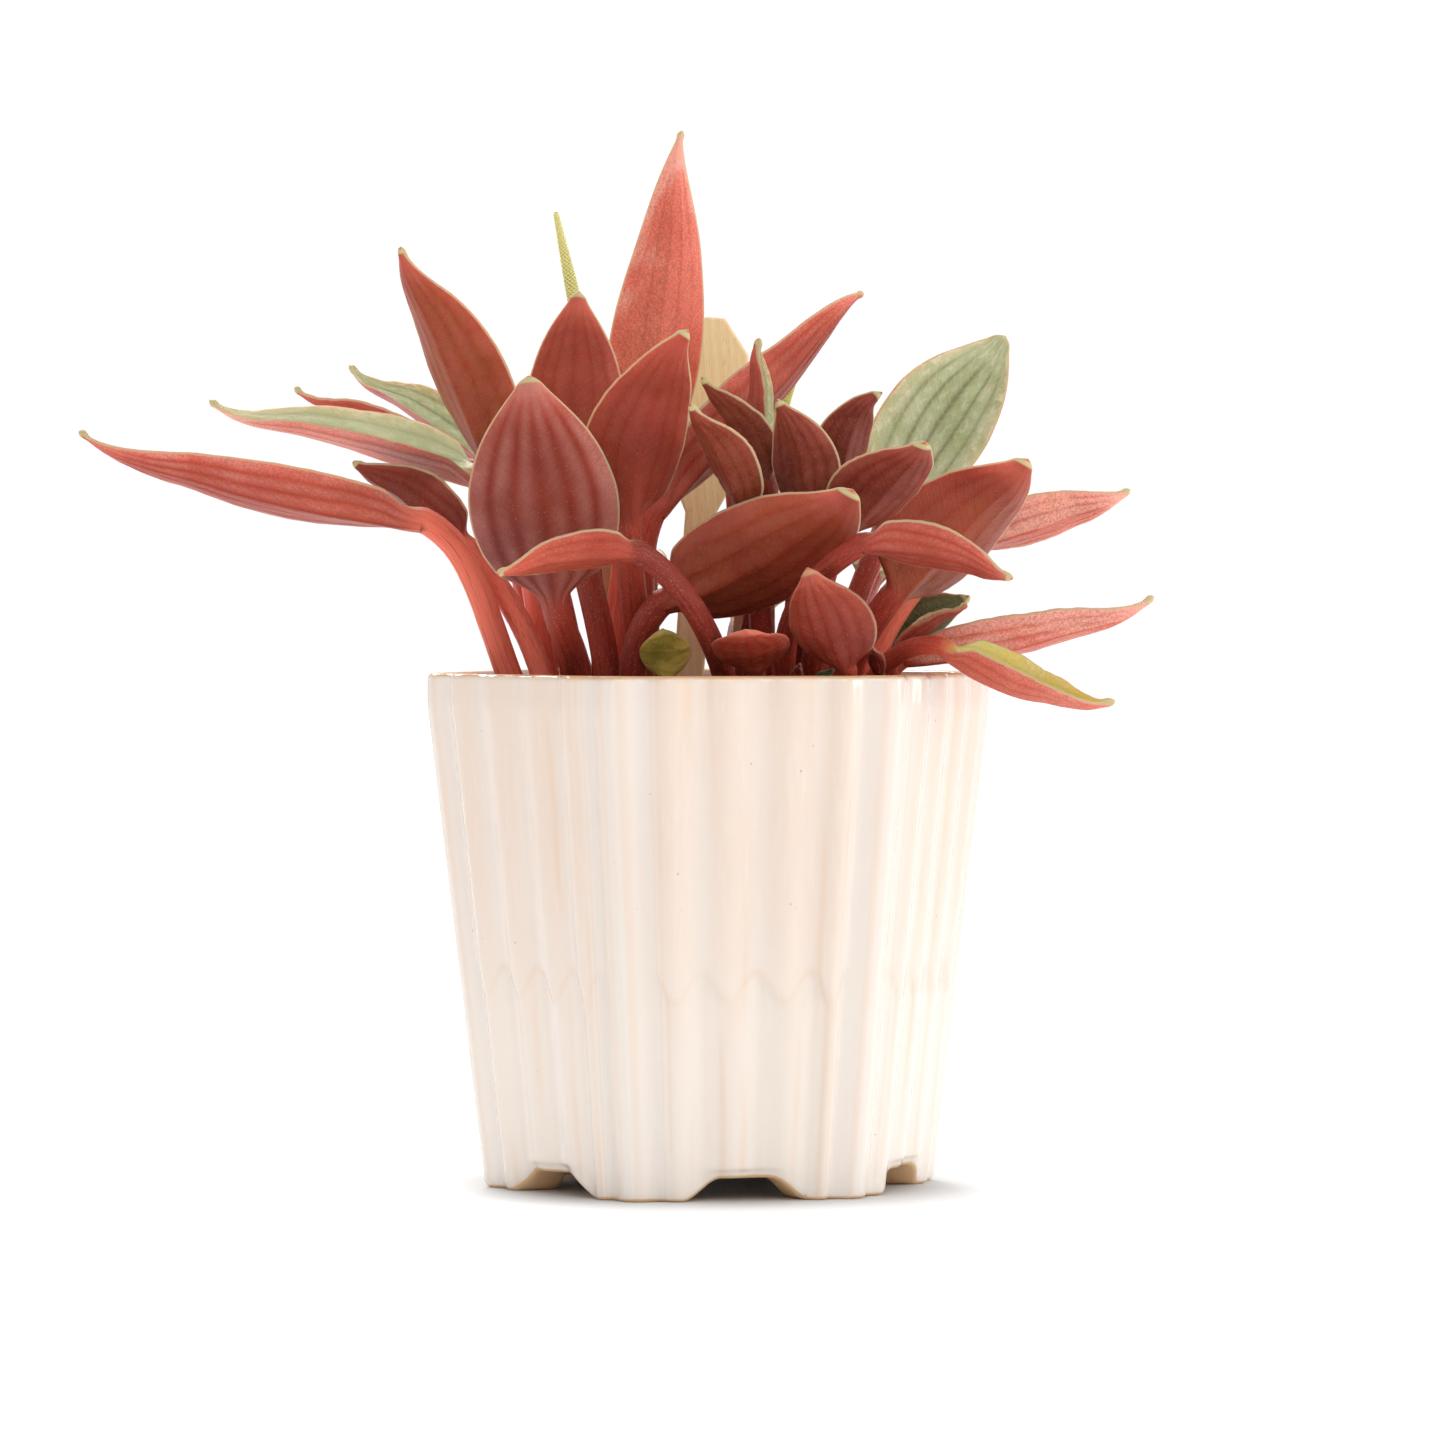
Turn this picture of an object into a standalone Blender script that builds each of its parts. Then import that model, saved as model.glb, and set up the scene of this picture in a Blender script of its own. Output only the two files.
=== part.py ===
"""A red ripple peperomia growing in its own fluted six-sided ceramic pot.

The table of leaves is in millimetres from the pot's axis, with the viewer on the -Y side.
The objects are in metres. The pot stands a little to the +X side of the origin, because
the longest leaves reach out to -X and the origin is under the middle of the whole plant.
"""

from math import atan2, cos, exp, pi, radians, sin

import bmesh
import bpy
import numpy as np
from mathutils import Vector

MM = 0.001
CLEARANCE = 0.3
POT_AXIS_X = 18.0

# Pot
POT_HEIGHT = 98.3
POT_RIM_RADIUS = 55.7
POT_BASE_RADIUS = 44.6
POT_LIP_HEIGHT = 6.0
POT_FIRST_CORNER = -80.0
POT_SIDES = 6
WALL = 4.6
RIM_ROUND = 1.0
FLOOR_TOP = 9.5
CORNER_SOFTENING = 0.9
CORNER_SPREAD = 0.035
INNER_CORNER_SOFTENING = 2.4
INNER_CORNER_SPREAD = 0.06
CHANNEL_DEPTH = 1.5
CHANNEL_DISTANCE = 0.105
CHANNEL_WIDTH = 0.05
REED_HEIGHT = 1.0
UPPER_GROOVES = (0.12, 0.275, 0.5, 0.725, 0.88)
LOWER_GROOVES = (0.12, 0.38, 0.62, 0.88)
TONGUE_TOP = 45.0
TONGUE_TIP = 38.0
LOWER_TIER_SET_IN = 0.4
OUTER_LEVELS = (0.0, 1.2, 12.0, 24.0, 36.5, 46.5, 64.0, 80.0, 92.3, 97.3)
SIDE_STEPS = (0.0, 0.025, 0.05, 0.08, 0.105, 0.13, 0.16, 0.2, 0.24, 0.275, 0.33, 0.38, 0.44)

# Feet: what is left between the arches that are cut through the foot ring
FOOT_HEIGHT = 4.3
RECESS_RADIUS = 31.0
ARCH_WIDTH = 20.5
ARCH_DEPTH = 24.0
ARCH_ROUND = 3.0
DRAIN_RADIUS = 5.0

# Soil and crowns
SOIL_TOP = 88.0
SOIL_CORNER_SHARE = 0.17
CROWN_TOP = 92.0
CROWN_MARGIN = 3.6
CROWN_TOP_MARGIN = 2.7
CROWN_EDGE = 1.2
CROWN_CORNERS = 10
CROWN_SPLIT_X = -1.0

# Leaves
PETIOLE_FOOT = CROWN_TOP + CLEARANCE
PETIOLE_STEPS = 6
BLADE_STEPS = 9
BLADE_THICKNESS = 1.0
PETIOLE_RADIUS = 2.6
RIB_TAPER = 1.5
THINNING_TO_TIP = 0.3
LEAST_HALF_WIDTH = 0.9
STALK_LEAN = 0.45
STALK_RISE = 0.45
STALK_HOOK = 0.3

# Wooden label
LABEL_THICKNESS = 2.0
LABEL_Y = 27.0
LABEL_HEAD_WIDTH = 14.4
LABEL_STAKE_WIDTH = 6.0
LABEL_TOP = 167.4
LABEL_SHOULDER = 138.0
LABEL_BOTTOM = 62.0
LABEL_CLIP_WIDTH = 5.2
LABEL_CLIP_HEIGHT = 7.0
LABEL_NECK_HEIGHT = 9.0
LABEL_POINT_WIDTH = 1.2
LABEL_POINT_HEIGHT = 8.0
LABEL_LEAN = 4.2
LABEL_TOP_X = 0.8

# Each leaf: where its stalk leaves the crown (x, y), its neck where stalk meets blade, its
# tip, its full width, and the way its green top faces. "fold" and "cup" are the angles
# in degrees of the blade's V and of its margins, "arch" and "sway" bow the blade towards its
# top and sideways as shares of its length, "belly" is where it is widest, and "blunt" fills its ends.
LEAVES = {
    "leaf_far_left": dict(
        root=(-36, -2), neck=(-55, -6, 127.5), tip=(-120.5, -8, 144.5), width=15.5, top=(0, 0.72, 0.7),
        fold=26, arch=-0.16, belly=0.36, blunt=0.7, lean=(-0.45, 0, 1), entry=0.6, stalk=2.5),
    "leaf_left_green": dict(
        root=(-31, 5), neck=(-44, 14, 136), tip=(-97.5, 18, 151), width=22, top=(0, -0.18, 1),
        fold=34, arch=-0.06, blunt=0.75),
    "leaf_left_upper_rear": dict(
        root=(-25.5, 11), neck=(-42, 36, 138), tip=(-72.5, 60, 159), width=17, top=(0.3, -0.5, 1),
        fold=36, arch=-0.05, blunt=0.75),
    "leaf_left_rear": dict(
        root=(-31.5, 12), neck=(-46.5, 25, 137), tip=(-82, 37, 154), width=13, top=(0, 0.3, 1), fold=28),
    "leaf_left_inner": dict(
        root=(-30.5, -4), neck=(-47, 4, 122.5), tip=(-69, 9, 139), width=16, top=(0.4, 0.6, 0.7),
        stalk=2.2),
    "leaf_upper_left": dict(
        root=(-25, -1), neck=(-40.5, -12, 136.5), tip=(-58.5, -22, 179), width=21, top=(0.5, 0.8, 0.3),
        fold=32, sway=0.03, blunt=0.66),
    "leaf_front_left": dict(
        root=(-24, -15), neck=(-29, -38, 112), tip=(-33.5, -50, 154), width=29, top=(0.05, 1, 0.15),
        fold=14, cup=35, arch=-0.12, belly=0.42),
    "leaf_front_small_left": dict(
        root=(4, -17), neck=(-13.5, -58, 121.5), tip=(-39, -66, 117.5), width=10.5, top=(0, 0.8, 0.6),
        fold=25, arch=0.04, lean=(-0.1, -1.3, 0.7), rise=0.4, entry=0.35, hook=0.3, stalk=2.2),
    "leaf_front_centre": dict(
        root=(-15, -15), neck=(-9, -24, 112), tip=(26.5, -44, 133), width=25.5, top=(-0.3, 0.9, 0.45),
        fold=16, cup=30, sway=-0.17, belly=0.42, blunt=0.5, lean=(0, -0.3, 1)),
    "leaf_upper_centre_left": dict(
        root=(-19, -7), neck=(-26.5, -13, 133), tip=(-25, -12, 171), width=22, top=(0.1, 1, 0.2),
        fold=26, sway=0.02),
    "leaf_upper_centre": dict(
        root=(-13, -6), neck=(-15.5, -31.5, 126.5), tip=(-4, -46, 162.5), width=21, top=(-0.35, 0.9, 0.25),
        fold=16, sway=0.13),
    "leaf_tallest": dict(
        root=(-19, 2), neck=(-13.5, 4, 138.5), tip=(-5.5, 4, 202.5), width=20.5, top=(-0.1, 1, 0.1),
        fold=28, belly=0.34, blunt=0.78, sway=-0.02),
    "leaf_long_right": dict(
        root=(-12, 2), neck=(-11, -8, 129), tip=(29.5, 14, 171.5), width=18, top=(-0.35, 0.7, 0.6),
        fold=24, sway=0.03, arch=-0.06, blunt=0.8),
    "leaf_narrow_upright": dict(
        root=(11, 0), neck=(4.8, -6.8, 137), tip=(9.5, -12, 162), width=13, top=(1, -0.25, 0.05),
        fold=46, blunt=0.75, stalk=2.0),
    "leaf_dark_edge": dict(
        root=(6, -3), neck=(10.5, -16, 134.5), tip=(-1.5, -22, 154.5), width=13, top=(0.6, 0.6, 0.5),
        fold=36, stalk=2.1),
    "leaf_inner_left": dict(
        root=(10, -7), neck=(7, -29.5, 128.5), tip=(-3.7, -46, 149), width=12.5, top=(0.5, 0.8, 0.4),
        fold=26, sway=-0.03, belly=0.44, stalk=2.1),
    "leaf_inner_right": dict(
        root=(15, -5), neck=(18, -24, 128), tip=(12.5, -30, 150), width=14.5, top=(0.2, 1, 0.3),
        fold=26, sway=-0.15, stalk=2.2),
    "leaf_hooked_right": dict(
        root=(17, 1), neck=(25.5, 0, 133.5), tip=(33, 0, 152), width=13, top=(-0.1, 0.9, 0.4),
        fold=34, sway=0.28, stalk=2.0),
    "leaf_right_centre": dict(
        root=(20, -9), neck=(24.5, -27.5, 125.5), tip=(40, -40, 142), width=19, top=(-0.4, 0.8, 0.5),
        fold=20, sway=-0.1, blunt=0.52, stalk=2.4),
    "leaf_right_green": dict(
        root=(23, 8), neck=(34, 14, 127), tip=(58, 34, 164), width=22.5, top=(-0.1, -1, 0.35),
        fold=10, sway=-0.08, belly=0.46, blunt=0.56, stalk=2.2),
    "leaf_right_broad": dict(
        root=(24.5, -3.5), neck=(34.5, -14, 113), tip=(60, -22, 139), width=27, top=(-0.4, 0.75, 0.5),
        fold=18, sway=-0.05, blunt=0.54),
    "leaf_far_right": dict(
        root=(28, 2), neck=(49, 6, 123), tip=(81, 8, 133.5), width=13, top=(-0.1, 0.75, 0.6),
        fold=25, arch=-0.12, blunt=0.7, stalk=2.2),
    "leaf_front_small_right": dict(
        root=(15, -13), neck=(28.5, -46, 123), tip=(56, -52, 116.5), width=12, top=(0.1, 0.75, 0.65),
        fold=25, arch=0.08, lean=(-0.2, -0.6, 1), entry=0.4, stalk=2.1),
    "leaf_low_right": dict(
        root=(31, -4), neck=(37, -6, 101.5), tip=(84.5, -10, 113), width=14, top=(-0.05, 0.6, 0.75),
        fold=25, arch=-0.17, blunt=0.75, stalk=2.2),
    "leaf_front_young": dict(
        root=(21, -16), neck=(25.5, -38, 99.5), tip=(18, -46, 118.5), width=17.5, top=(0.2, 1, 0.3),
        fold=14, cup=40, arch=-0.1, belly=0.42, stalk=1.9),
    "leaf_over_rim": dict(
        root=(28, -11), neck=(44, -28, 103.5), tip=(76, -32, 93.5), width=16.5, top=(0.35, -0.38, 0.86),
        fold=46, arch=-0.28, lean=(0.5, -0.3, 1), stalk=1.8),
    "leaf_low_green": dict(
        root=(33, 8), neck=(34.5, 9.5, 101.5), tip=(50, 6.5, 113), width=15, top=(-0.3, -0.75, 0.6),
        fold=30, stalk=1.6),
    "leaf_low_red": dict(
        root=(35, -8.5), neck=(35, -11.5, 101.8), tip=(48.5, -16.5, 111.7), width=7, top=(-0.5, -0.1, 0.85),
        fold=52, blunt=0.75, stalk=1.2),
    "leaf_ball_young": dict(
        root=(9, -20), neck=(8.5, -34, 99), tip=(6.5, -46, 107), width=15, top=(0, 1, 1),
        fold=10, cup=50, belly=0.5, blunt=0.5, stalk=1.7),
    "leaf_low_golden": dict(
        root=(-7, -14), neck=(-8, -21, 97.5), tip=(-9, -25, 107), width=10, top=(0, 1, 0.3),
        fold=10, cup=40, belly=0.5, stalk=1.4),
    "bud_right": dict(
        root=(27, -18), neck=(32, -26, 98), tip=(30.5, -32, 103.5), width=3.6, top=(0, 1, 0.3),
        fold=20, cup=40, belly=0.5, stalk=1.1),
    "leaf_rear_left_low": dict(
        root=(-24, 17.5), neck=(-35.5, 32, 119), tip=(-42.5, 66, 125), width=17, top=(0, -0.3, 1), fold=22),
    "leaf_rear_left": dict(
        root=(-20, 12), neck=(-24, 26, 131), tip=(-27, 64, 152), width=14, top=(0, -0.7, 0.8), fold=20),
    "leaf_rear_centre": dict(
        root=(-12, 9), neck=(-13.5, 20, 130), tip=(-13.5, 62, 153), width=12, top=(0, -0.7, 0.8), fold=20),
    "leaf_rear_centre_low": dict(
        root=(-13, 15.5), neck=(-15, 30, 112), tip=(-15, 66.5, 124), width=14, top=(0, -0.5, 1), fold=22),
    "leaf_rear_right_inner": dict(
        root=(10, 9), neck=(10.5, 24, 120), tip=(18, 67, 131), width=18, top=(0, -0.4, 1), fold=22),
    "leaf_rear_right": dict(
        root=(17, 8), neck=(20, 24, 126), tip=(29, 63, 141), width=17, top=(0, -0.5, 1), fold=22),
    "leaf_rear_right_outer": dict(
        root=(24, 15), neck=(31, 32, 116), tip=(43, 62, 127), width=16, top=(0, -0.4, 1), fold=22),
    "leaf_rear_low": dict(
        root=(4, 12), neck=(6, 30, 108), tip=(13, 66, 113), width=14, top=(0, -0.1, 1), fold=22, stalk=2.1),
}

# Flower spikes: points of the middle line and the thickness there
SPIKES = {
    "flower_spike_left": (
        (-17, 6, PETIOLE_FOOT + CLEARANCE, 1.2), (-20, 11, 118, 1.1), (-22.5, 14.5, 142, 1.1),
        (-24, 15, 158, 1.5), (-27, 14, 173, 1.2), (-30, 13, 187.5, 0.4)),
    "flower_spike_right": (
        (4, 4, PETIOLE_FOOT + CLEARANCE, 1.2), (6, 5.5, 112, 1.1), (8.5, 6.5, 128, 1.2),
        (10.5, 10.5, 138, 1.7), (13.5, 14.8, 149, 1.5), (17, 19, 158, 0.5)),
}

# Principled base colour, roughness and metallic value of each kind of piece
FINISHES = {
    "glaze": ((0.82, 0.70, 0.58), 0.18, 0.0),
    "peat": ((0.05, 0.032, 0.02), 0.95, 0.0),
    "crown": ((0.30, 0.06, 0.04), 0.6, 0.0),
    "red_leaf": ((0.36, 0.05, 0.045), 0.45, 0.0),
    "green_leaf": ((0.28, 0.34, 0.17), 0.5, 0.0),
    "spike": ((0.55, 0.60, 0.16), 0.6, 0.0),
    "wood": ((0.72, 0.48, 0.29), 0.65, 0.0),
}
GREEN_LEAVES = (
    "leaf_left_green", "leaf_left_upper_rear", "leaf_right_green", "leaf_low_green",
    "leaf_low_golden",
)


def clear_scene():
    for old in list(bpy.data.objects):
        bpy.data.objects.remove(old)


def new_collection(name, parent):
    collection = bpy.data.collections.new(name)
    parent.children.link(collection)
    return collection


def finish(obj, kind):
    """Gives an object a material of its own in the named finish."""
    colour, roughness, metallic = FINISHES[kind]
    material = bpy.data.materials.new(obj.name)
    material.use_nodes = True
    shader = material.node_tree.nodes["Principled BSDF"]
    shader.inputs["Base Color"].default_value = (*colour, 1.0)
    shader.inputs["Roughness"].default_value = roughness
    shader.inputs["Metallic"].default_value = metallic
    obj.data.materials.clear()
    obj.data.materials.append(material)


def add_object(name, data, kind=None):
    """Puts a mesh or curve into the plant's collection, on the pot's axis."""
    obj = bpy.data.objects.new(name, data)
    plant.objects.link(obj)
    obj.parent = pot_axis
    if kind:
        finish(obj, kind)
    return obj


def loft(name, rings):
    """A closed mesh through rings of equal length, in millimetres, with flat ends."""
    shape = bmesh.new()
    rows = [[shape.verts.new(Vector(point) * MM) for point in ring] for ring in rings]
    count = len(rows[0])
    for lower, upper in zip(rows, rows[1:]):
        for i in range(count):
            j = (i + 1) % count
            shape.faces.new((lower[i], lower[j], upper[j], upper[i]))
    shape.faces.new(reversed(rows[0]))
    shape.faces.new(rows[-1])
    bmesh.ops.recalc_face_normals(shape, faces=shape.faces)
    mesh = bpy.data.meshes.new(name)
    shape.to_mesh(mesh)
    shape.free()
    return mesh


def boolean(target, tool, operation):
    modifier = target.modifiers.new(tool.name, "BOOLEAN")
    modifier.operation = operation
    modifier.object = tool


def as_cutter(tool):
    for collection in list(tool.users_collection):
        collection.objects.unlink(tool)
    cutters.objects.link(tool)
    tool.parent = pot_axis
    tool.hide_render = True
    tool.display_type = "WIRE"
    return tool


def side_shares():
    """The shares of one pot side at which its outline has a point, from corner to corner."""
    mirrored = [1.0 - share for share in reversed(SIDE_STEPS[1:])]
    return list(SIDE_STEPS) + [0.5] + mirrored


def pot_corner_radius(z):
    """Radius at the corners, straight up the lip and tapering below it."""
    share = min(1.0, z / (POT_HEIGHT - POT_LIP_HEIGHT))
    return POT_BASE_RADIUS + (POT_RIM_RADIUS - POT_BASE_RADIUS) * share


def reed(share, grooves):
    """Height of the rounded reeds between the grooves of one side, 0 in the grooves."""
    for start, end in zip(grooves, grooves[1:]):
        if start <= share <= end:
            across = 2.0 * (share - start) / (end - start) - 1.0
            return REED_HEIGHT * (1.0 - across * across)
    return 0.0


def relief(share, z):
    """How far the glaze stands out from the flat side: corner rib, channel and two tiers of reeds."""
    from_corner = min(share, 1.0 - share)
    channel = -CHANNEL_DEPTH * exp(-(((from_corner - CHANNEL_DISTANCE) / CHANNEL_WIDTH) ** 2))
    rib = -CORNER_SOFTENING * exp(-((from_corner / CORNER_SPREAD) ** 2))
    upper = reed(share, UPPER_GROOVES)
    lower = reed(share, LOWER_GROOVES)
    if from_corner > CHANNEL_DISTANCE:
        lower -= LOWER_TIER_SET_IN
    tier = min(1.0, max(0.0, (z - TONGUE_TIP) / (TONGUE_TOP - TONGUE_TIP)))
    return channel + rib + upper * tier + lower * (1.0 - tier)


def pot_corner(index, radius):
    turn = radians(POT_FIRST_CORNER + index * 360.0 / POT_SIDES)
    return Vector((radius * sin(turn), -radius * cos(turn), 0.0))


def pot_ring(radius, z, stand_out, shares):
    """One outline of the pot, with stand_out(share) millimetres added to its flat sides."""
    points = []
    for index in range(POT_SIDES):
        start = pot_corner(index, radius)
        end = pot_corner(index + 1, radius)
        for share in shares:
            point = start.lerp(end, share)
            outward = start.lerp(end, share).normalized()
            point += outward * stand_out(share)
            points.append((point.x, point.y, z))
    return points


def inner_stand_out(share):
    from_corner = min(share, 1.0 - share)
    return -INNER_CORNER_SOFTENING * exp(-((from_corner / INNER_CORNER_SPREAD) ** 2))


def inner_radius(z):
    return pot_corner_radius(z) - WALL / cos(pi / POT_SIDES)


def build_pot():
    shares = side_shares()[:-1]
    rings = [
        pot_ring(pot_corner_radius(z), z, lambda share, z=z: relief(share, z), shares)
        for z in OUTER_LEVELS
    ]
    rim = POT_HEIGHT
    rings.append(
        pot_ring(POT_RIM_RADIUS - RIM_ROUND, rim, lambda share: relief(share, rim), shares)
    )
    rings.append(pot_ring(inner_radius(rim) + RIM_ROUND, rim, inner_stand_out, shares))
    for z in (rim - RIM_ROUND, rim - POT_LIP_HEIGHT, FLOOR_TOP):
        rings.append(pot_ring(inner_radius(z), z, inner_stand_out, shares))
    pot = add_object("pot", loft("pot", rings), "glaze")
    cut_foot_recess(pot)
    cut_arches(pot)
    cut_drain(pot)


def cut_foot_recess(pot):
    """The hollow under the floor, inside the foot ring."""
    bpy.ops.mesh.primitive_cylinder_add(
        vertices=36, radius=RECESS_RADIUS * MM, depth=2 * FOOT_HEIGHT * MM
    )
    recess = as_cutter(bpy.context.object)
    recess.name = "foot_recess"
    boolean(pot, recess, "DIFFERENCE")


def cut_arches(pot):
    """One low arch in the middle of each side, which leaves a foot at each corner."""
    apothem = POT_BASE_RADIUS * cos(pi / POT_SIDES)
    for index in range(POT_SIDES):
        middle = pot_corner(index, 1.0) + pot_corner(index + 1, 1.0)
        turn = atan2(middle.y, middle.x)
        bpy.ops.mesh.primitive_cube_add(size=1.0)
        arch = as_cutter(bpy.context.object)
        arch.name = f"arch_{index + 1}"
        for vertex in arch.data.vertices:
            vertex.co.x *= ARCH_DEPTH * MM
            vertex.co.y *= ARCH_WIDTH * MM
            vertex.co.z *= 2 * FOOT_HEIGHT * MM
        arch.location = (apothem * cos(turn) * MM, apothem * sin(turn) * MM, 0.0)
        arch.rotation_euler.z = turn
        rounding = arch.modifiers.new("rounding", "BEVEL")
        rounding.width = ARCH_ROUND * MM
        rounding.segments = 3
        boolean(pot, arch, "DIFFERENCE")


def cut_drain(pot):
    bpy.ops.mesh.primitive_cylinder_add(
        vertices=24, radius=DRAIN_RADIUS * MM, depth=4 * FLOOR_TOP * MM
    )
    drain = as_cutter(bpy.context.object)
    drain.name = "drain"
    boolean(pot, drain, "DIFFERENCE")


def build_soil():
    """The root ball, which fills the pot up to the planting level."""
    shares = [share for share in side_shares()[:-1] if min(share, 1.0 - share) < SOIL_CORNER_SHARE]
    gap = CLEARANCE / cos(pi / POT_SIDES)
    bottom = FLOOR_TOP + CLEARANCE
    rings = [
        pot_ring(inner_radius(z) - gap, z, inner_stand_out, shares)
        for z in (bottom, SOIL_TOP)
    ]
    soil = add_object("soil", loft("soil", rings), "peat")
    slot = as_cutter(
        flat_plate("label_slot", label_outline(CLEARANCE), LABEL_THICKNESS + 2 * CLEARANCE)
    )
    place_label(slot)
    boolean(soil, slot, "DIFFERENCE")


def crown_of(x):
    return "crown_left" if x < CROWN_SPLIT_X else "crown_right"


def build_crowns():
    """Two short stems at soil level. Each is the hull round the stalks that leave it."""
    roots = {"crown_left": [], "crown_right": []}
    for leaf in LEAVES.values():
        roots[crown_of(leaf["root"][0])].append(leaf["root"])
    for spike in SPIKES.values():
        roots[crown_of(spike[0][0])].append(spike[0][:2])
    levels = (
        (SOIL_TOP + CLEARANCE, CROWN_MARGIN),
        (CROWN_TOP - CROWN_EDGE, CROWN_MARGIN),
        (CROWN_TOP, CROWN_TOP_MARGIN),
    )
    for name, feet in roots.items():
        shape = bmesh.new()
        for x, y in feet:
            for level, reach in levels:
                for corner in range(CROWN_CORNERS):
                    turn = 2 * pi * corner / CROWN_CORNERS
                    shape.verts.new(
                        Vector((x + reach * cos(turn), y + reach * sin(turn), level)) * MM
                    )
        hull = bmesh.ops.convex_hull(shape, input=shape.verts)
        inside = hull["geom_interior"] + hull["geom_unused"]
        spare = {part for part in inside if isinstance(part, bmesh.types.BMVert)}
        bmesh.ops.delete(shape, geom=list(spare), context="VERTS")
        mesh = bpy.data.meshes.new(name)
        shape.to_mesh(mesh)
        shape.free()
        add_object(name, mesh, "crown")


def unit(vector):
    return vector / np.linalg.norm(vector)


def leaf_lines(leaf):
    """The middle line of stalk and blade as points, and the way the top faces at the neck."""
    root = np.array([*leaf["root"], PETIOLE_FOOT])
    neck = np.array(leaf["neck"], float)
    tip = np.array(leaf["tip"], float)
    length = np.linalg.norm(tip - neck)
    along = (tip - neck) / length
    top = np.array(leaf["top"], float)
    top = unit(top - along * (top @ along))
    side = np.cross(along, top)
    bow = (neck + tip) / 2 + (top * leaf.get("arch", 0) + side * leaf.get("sway", 0)) * length
    t = np.linspace(0, 1, BLADE_STEPS + 1)[:, None]
    blade = (1 - t) ** 2 * neck + 2 * t * (1 - t) * bow + t**2 * tip
    reach = neck - root
    span = np.linalg.norm(reach)
    lean = np.array(leaf.get("lean", (reach[0] * STALK_LEAN, reach[1] * STALK_LEAN, reach[2])), float)
    entry = leaf.get("entry", 0.5)
    into = unit(unit(bow - neck) * entry + unit(reach) * (1 - entry))
    first = root + unit(lean) * span * leaf.get("rise", STALK_RISE)
    second = neck - into * span * leaf.get("hook", STALK_HOOK)
    t = np.linspace(0, 1, PETIOLE_STEPS + 1)[:, None]
    stalk = (1 - t) ** 3 * root + 3 * t * (1 - t) ** 2 * first + 3 * t**2 * (1 - t) * second + t**3 * neck
    return np.concatenate([stalk[:-1], blade]), top


def leaf_frames(line, top):
    """Directions along, across and up at each point, turned as little as possible from the neck."""
    along = np.gradient(line, axis=0)
    along /= np.linalg.norm(along, axis=1)[:, None]
    up = np.zeros_like(line)
    up[PETIOLE_STEPS] = unit(top - along[PETIOLE_STEPS] * (top @ along[PETIOLE_STEPS]))
    for i in range(PETIOLE_STEPS + 1, len(line)):
        up[i] = unit(up[i - 1] - along[i] * (up[i - 1] @ along[i]))
    for i in range(PETIOLE_STEPS - 1, -1, -1):
        up[i] = unit(up[i + 1] - along[i] * (up[i + 1] @ along[i]))
    return np.cross(along, up), up


def half_width(share, leaf):
    """Half of the blade's width at a share of its length."""
    skew = np.log(0.5) / np.log(leaf.get("belly", 0.38))
    full = sin(pi * min(1.0, max(0.0, share)) ** skew) ** leaf.get("blunt", 0.62)
    return max(LEAST_HALF_WIDTH, leaf["width"] / 2 * full)


def blade_curl(across, leaf):
    """Sideways and upward share at a signed share of the half width: a V whose arms curl up."""
    fold = radians(leaf.get("fold", 30))
    cup = radians(leaf.get("cup", 25))
    angle = fold - cup / 2 + cup * abs(across) / 2
    return across * cos(angle), abs(across) * sin(angle)


def leaf_section(share, leaf):
    """Eight points round the stalk or blade: margin, three above, margin, three below."""
    stalk = leaf.get("stalk", PETIOLE_RADIUS)
    if share <= 0:
        return [(-stalk * cos(i * pi / 4), stalk * sin(i * pi / 4)) for i in range(8)]
    half = half_width(share, leaf)
    thick = BLADE_THICKNESS * (1 - THINNING_TO_TIP * share)
    rib = stalk * (1 - share) ** RIB_TAPER
    points = []
    for across, rise in ((-1, 0), (-0.5, 1), (0, 1), (0.5, 1), (1, 0), (0.5, -1), (0, -1), (-0.5, -1)):
        x, z = blade_curl(across, leaf)
        swell = rise * thick / 2
        if across == 0 and rise < 0:
            swell -= rib
        points.append((x * half, z * half + swell))
    return points


def build_leaf(name, leaf):
    line, top = leaf_lines(leaf)
    across, up = leaf_frames(line, top)
    rings = []
    for i, centre in enumerate(line):
        share = (i - PETIOLE_STEPS) / BLADE_STEPS
        section = leaf_section(share, leaf)
        ring = [centre + across[i] * x + up[i] * z for x, z in section]
        rings.append(ring)
    for point in rings[0]:
        point[2] = PETIOLE_FOOT
    leaf_object = add_object(name, loft(name, rings))
    finish(leaf_object, "green_leaf" if name in GREEN_LEAVES else "red_leaf")


def build_spike(name, points):
    """A flower spike on its stalk, as one tube that swells and then runs to a point."""
    curve = bpy.data.curves.new(name, "CURVE")
    curve.dimensions = "3D"
    curve.bevel_depth = MM
    curve.bevel_resolution = 1
    curve.resolution_u = 3
    curve.use_fill_caps = True
    spline = curve.splines.new("BEZIER")
    spline.bezier_points.add(len(points) - 1)
    for knot, (x, y, z, radius) in zip(spline.bezier_points, points):
        knot.co = Vector((x, y, z)) * MM
        knot.radius = radius
        knot.handle_left_type = "AUTO"
        knot.handle_right_type = "AUTO"
    add_object(name, curve, "spike")


def label_outline(grow=0.0):
    """The label seen from the front: a stake below a wider head with clipped corners."""
    stake = LABEL_STAKE_WIDTH / 2 + grow
    head = LABEL_HEAD_WIDTH / 2 + grow
    rise = LABEL_TOP - LABEL_SHOULDER
    bottom = -(LABEL_SHOULDER - LABEL_BOTTOM) - grow
    right = (
        (LABEL_POINT_WIDTH + grow, bottom),
        (stake, bottom + LABEL_POINT_HEIGHT),
        (stake, -LABEL_NECK_HEIGHT),
        (head, 0),
        (head, rise - LABEL_CLIP_HEIGHT),
        (head - LABEL_CLIP_WIDTH, rise),
    )
    left = [(-x, z) for x, z in reversed(right)]
    return list(right) + left


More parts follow.
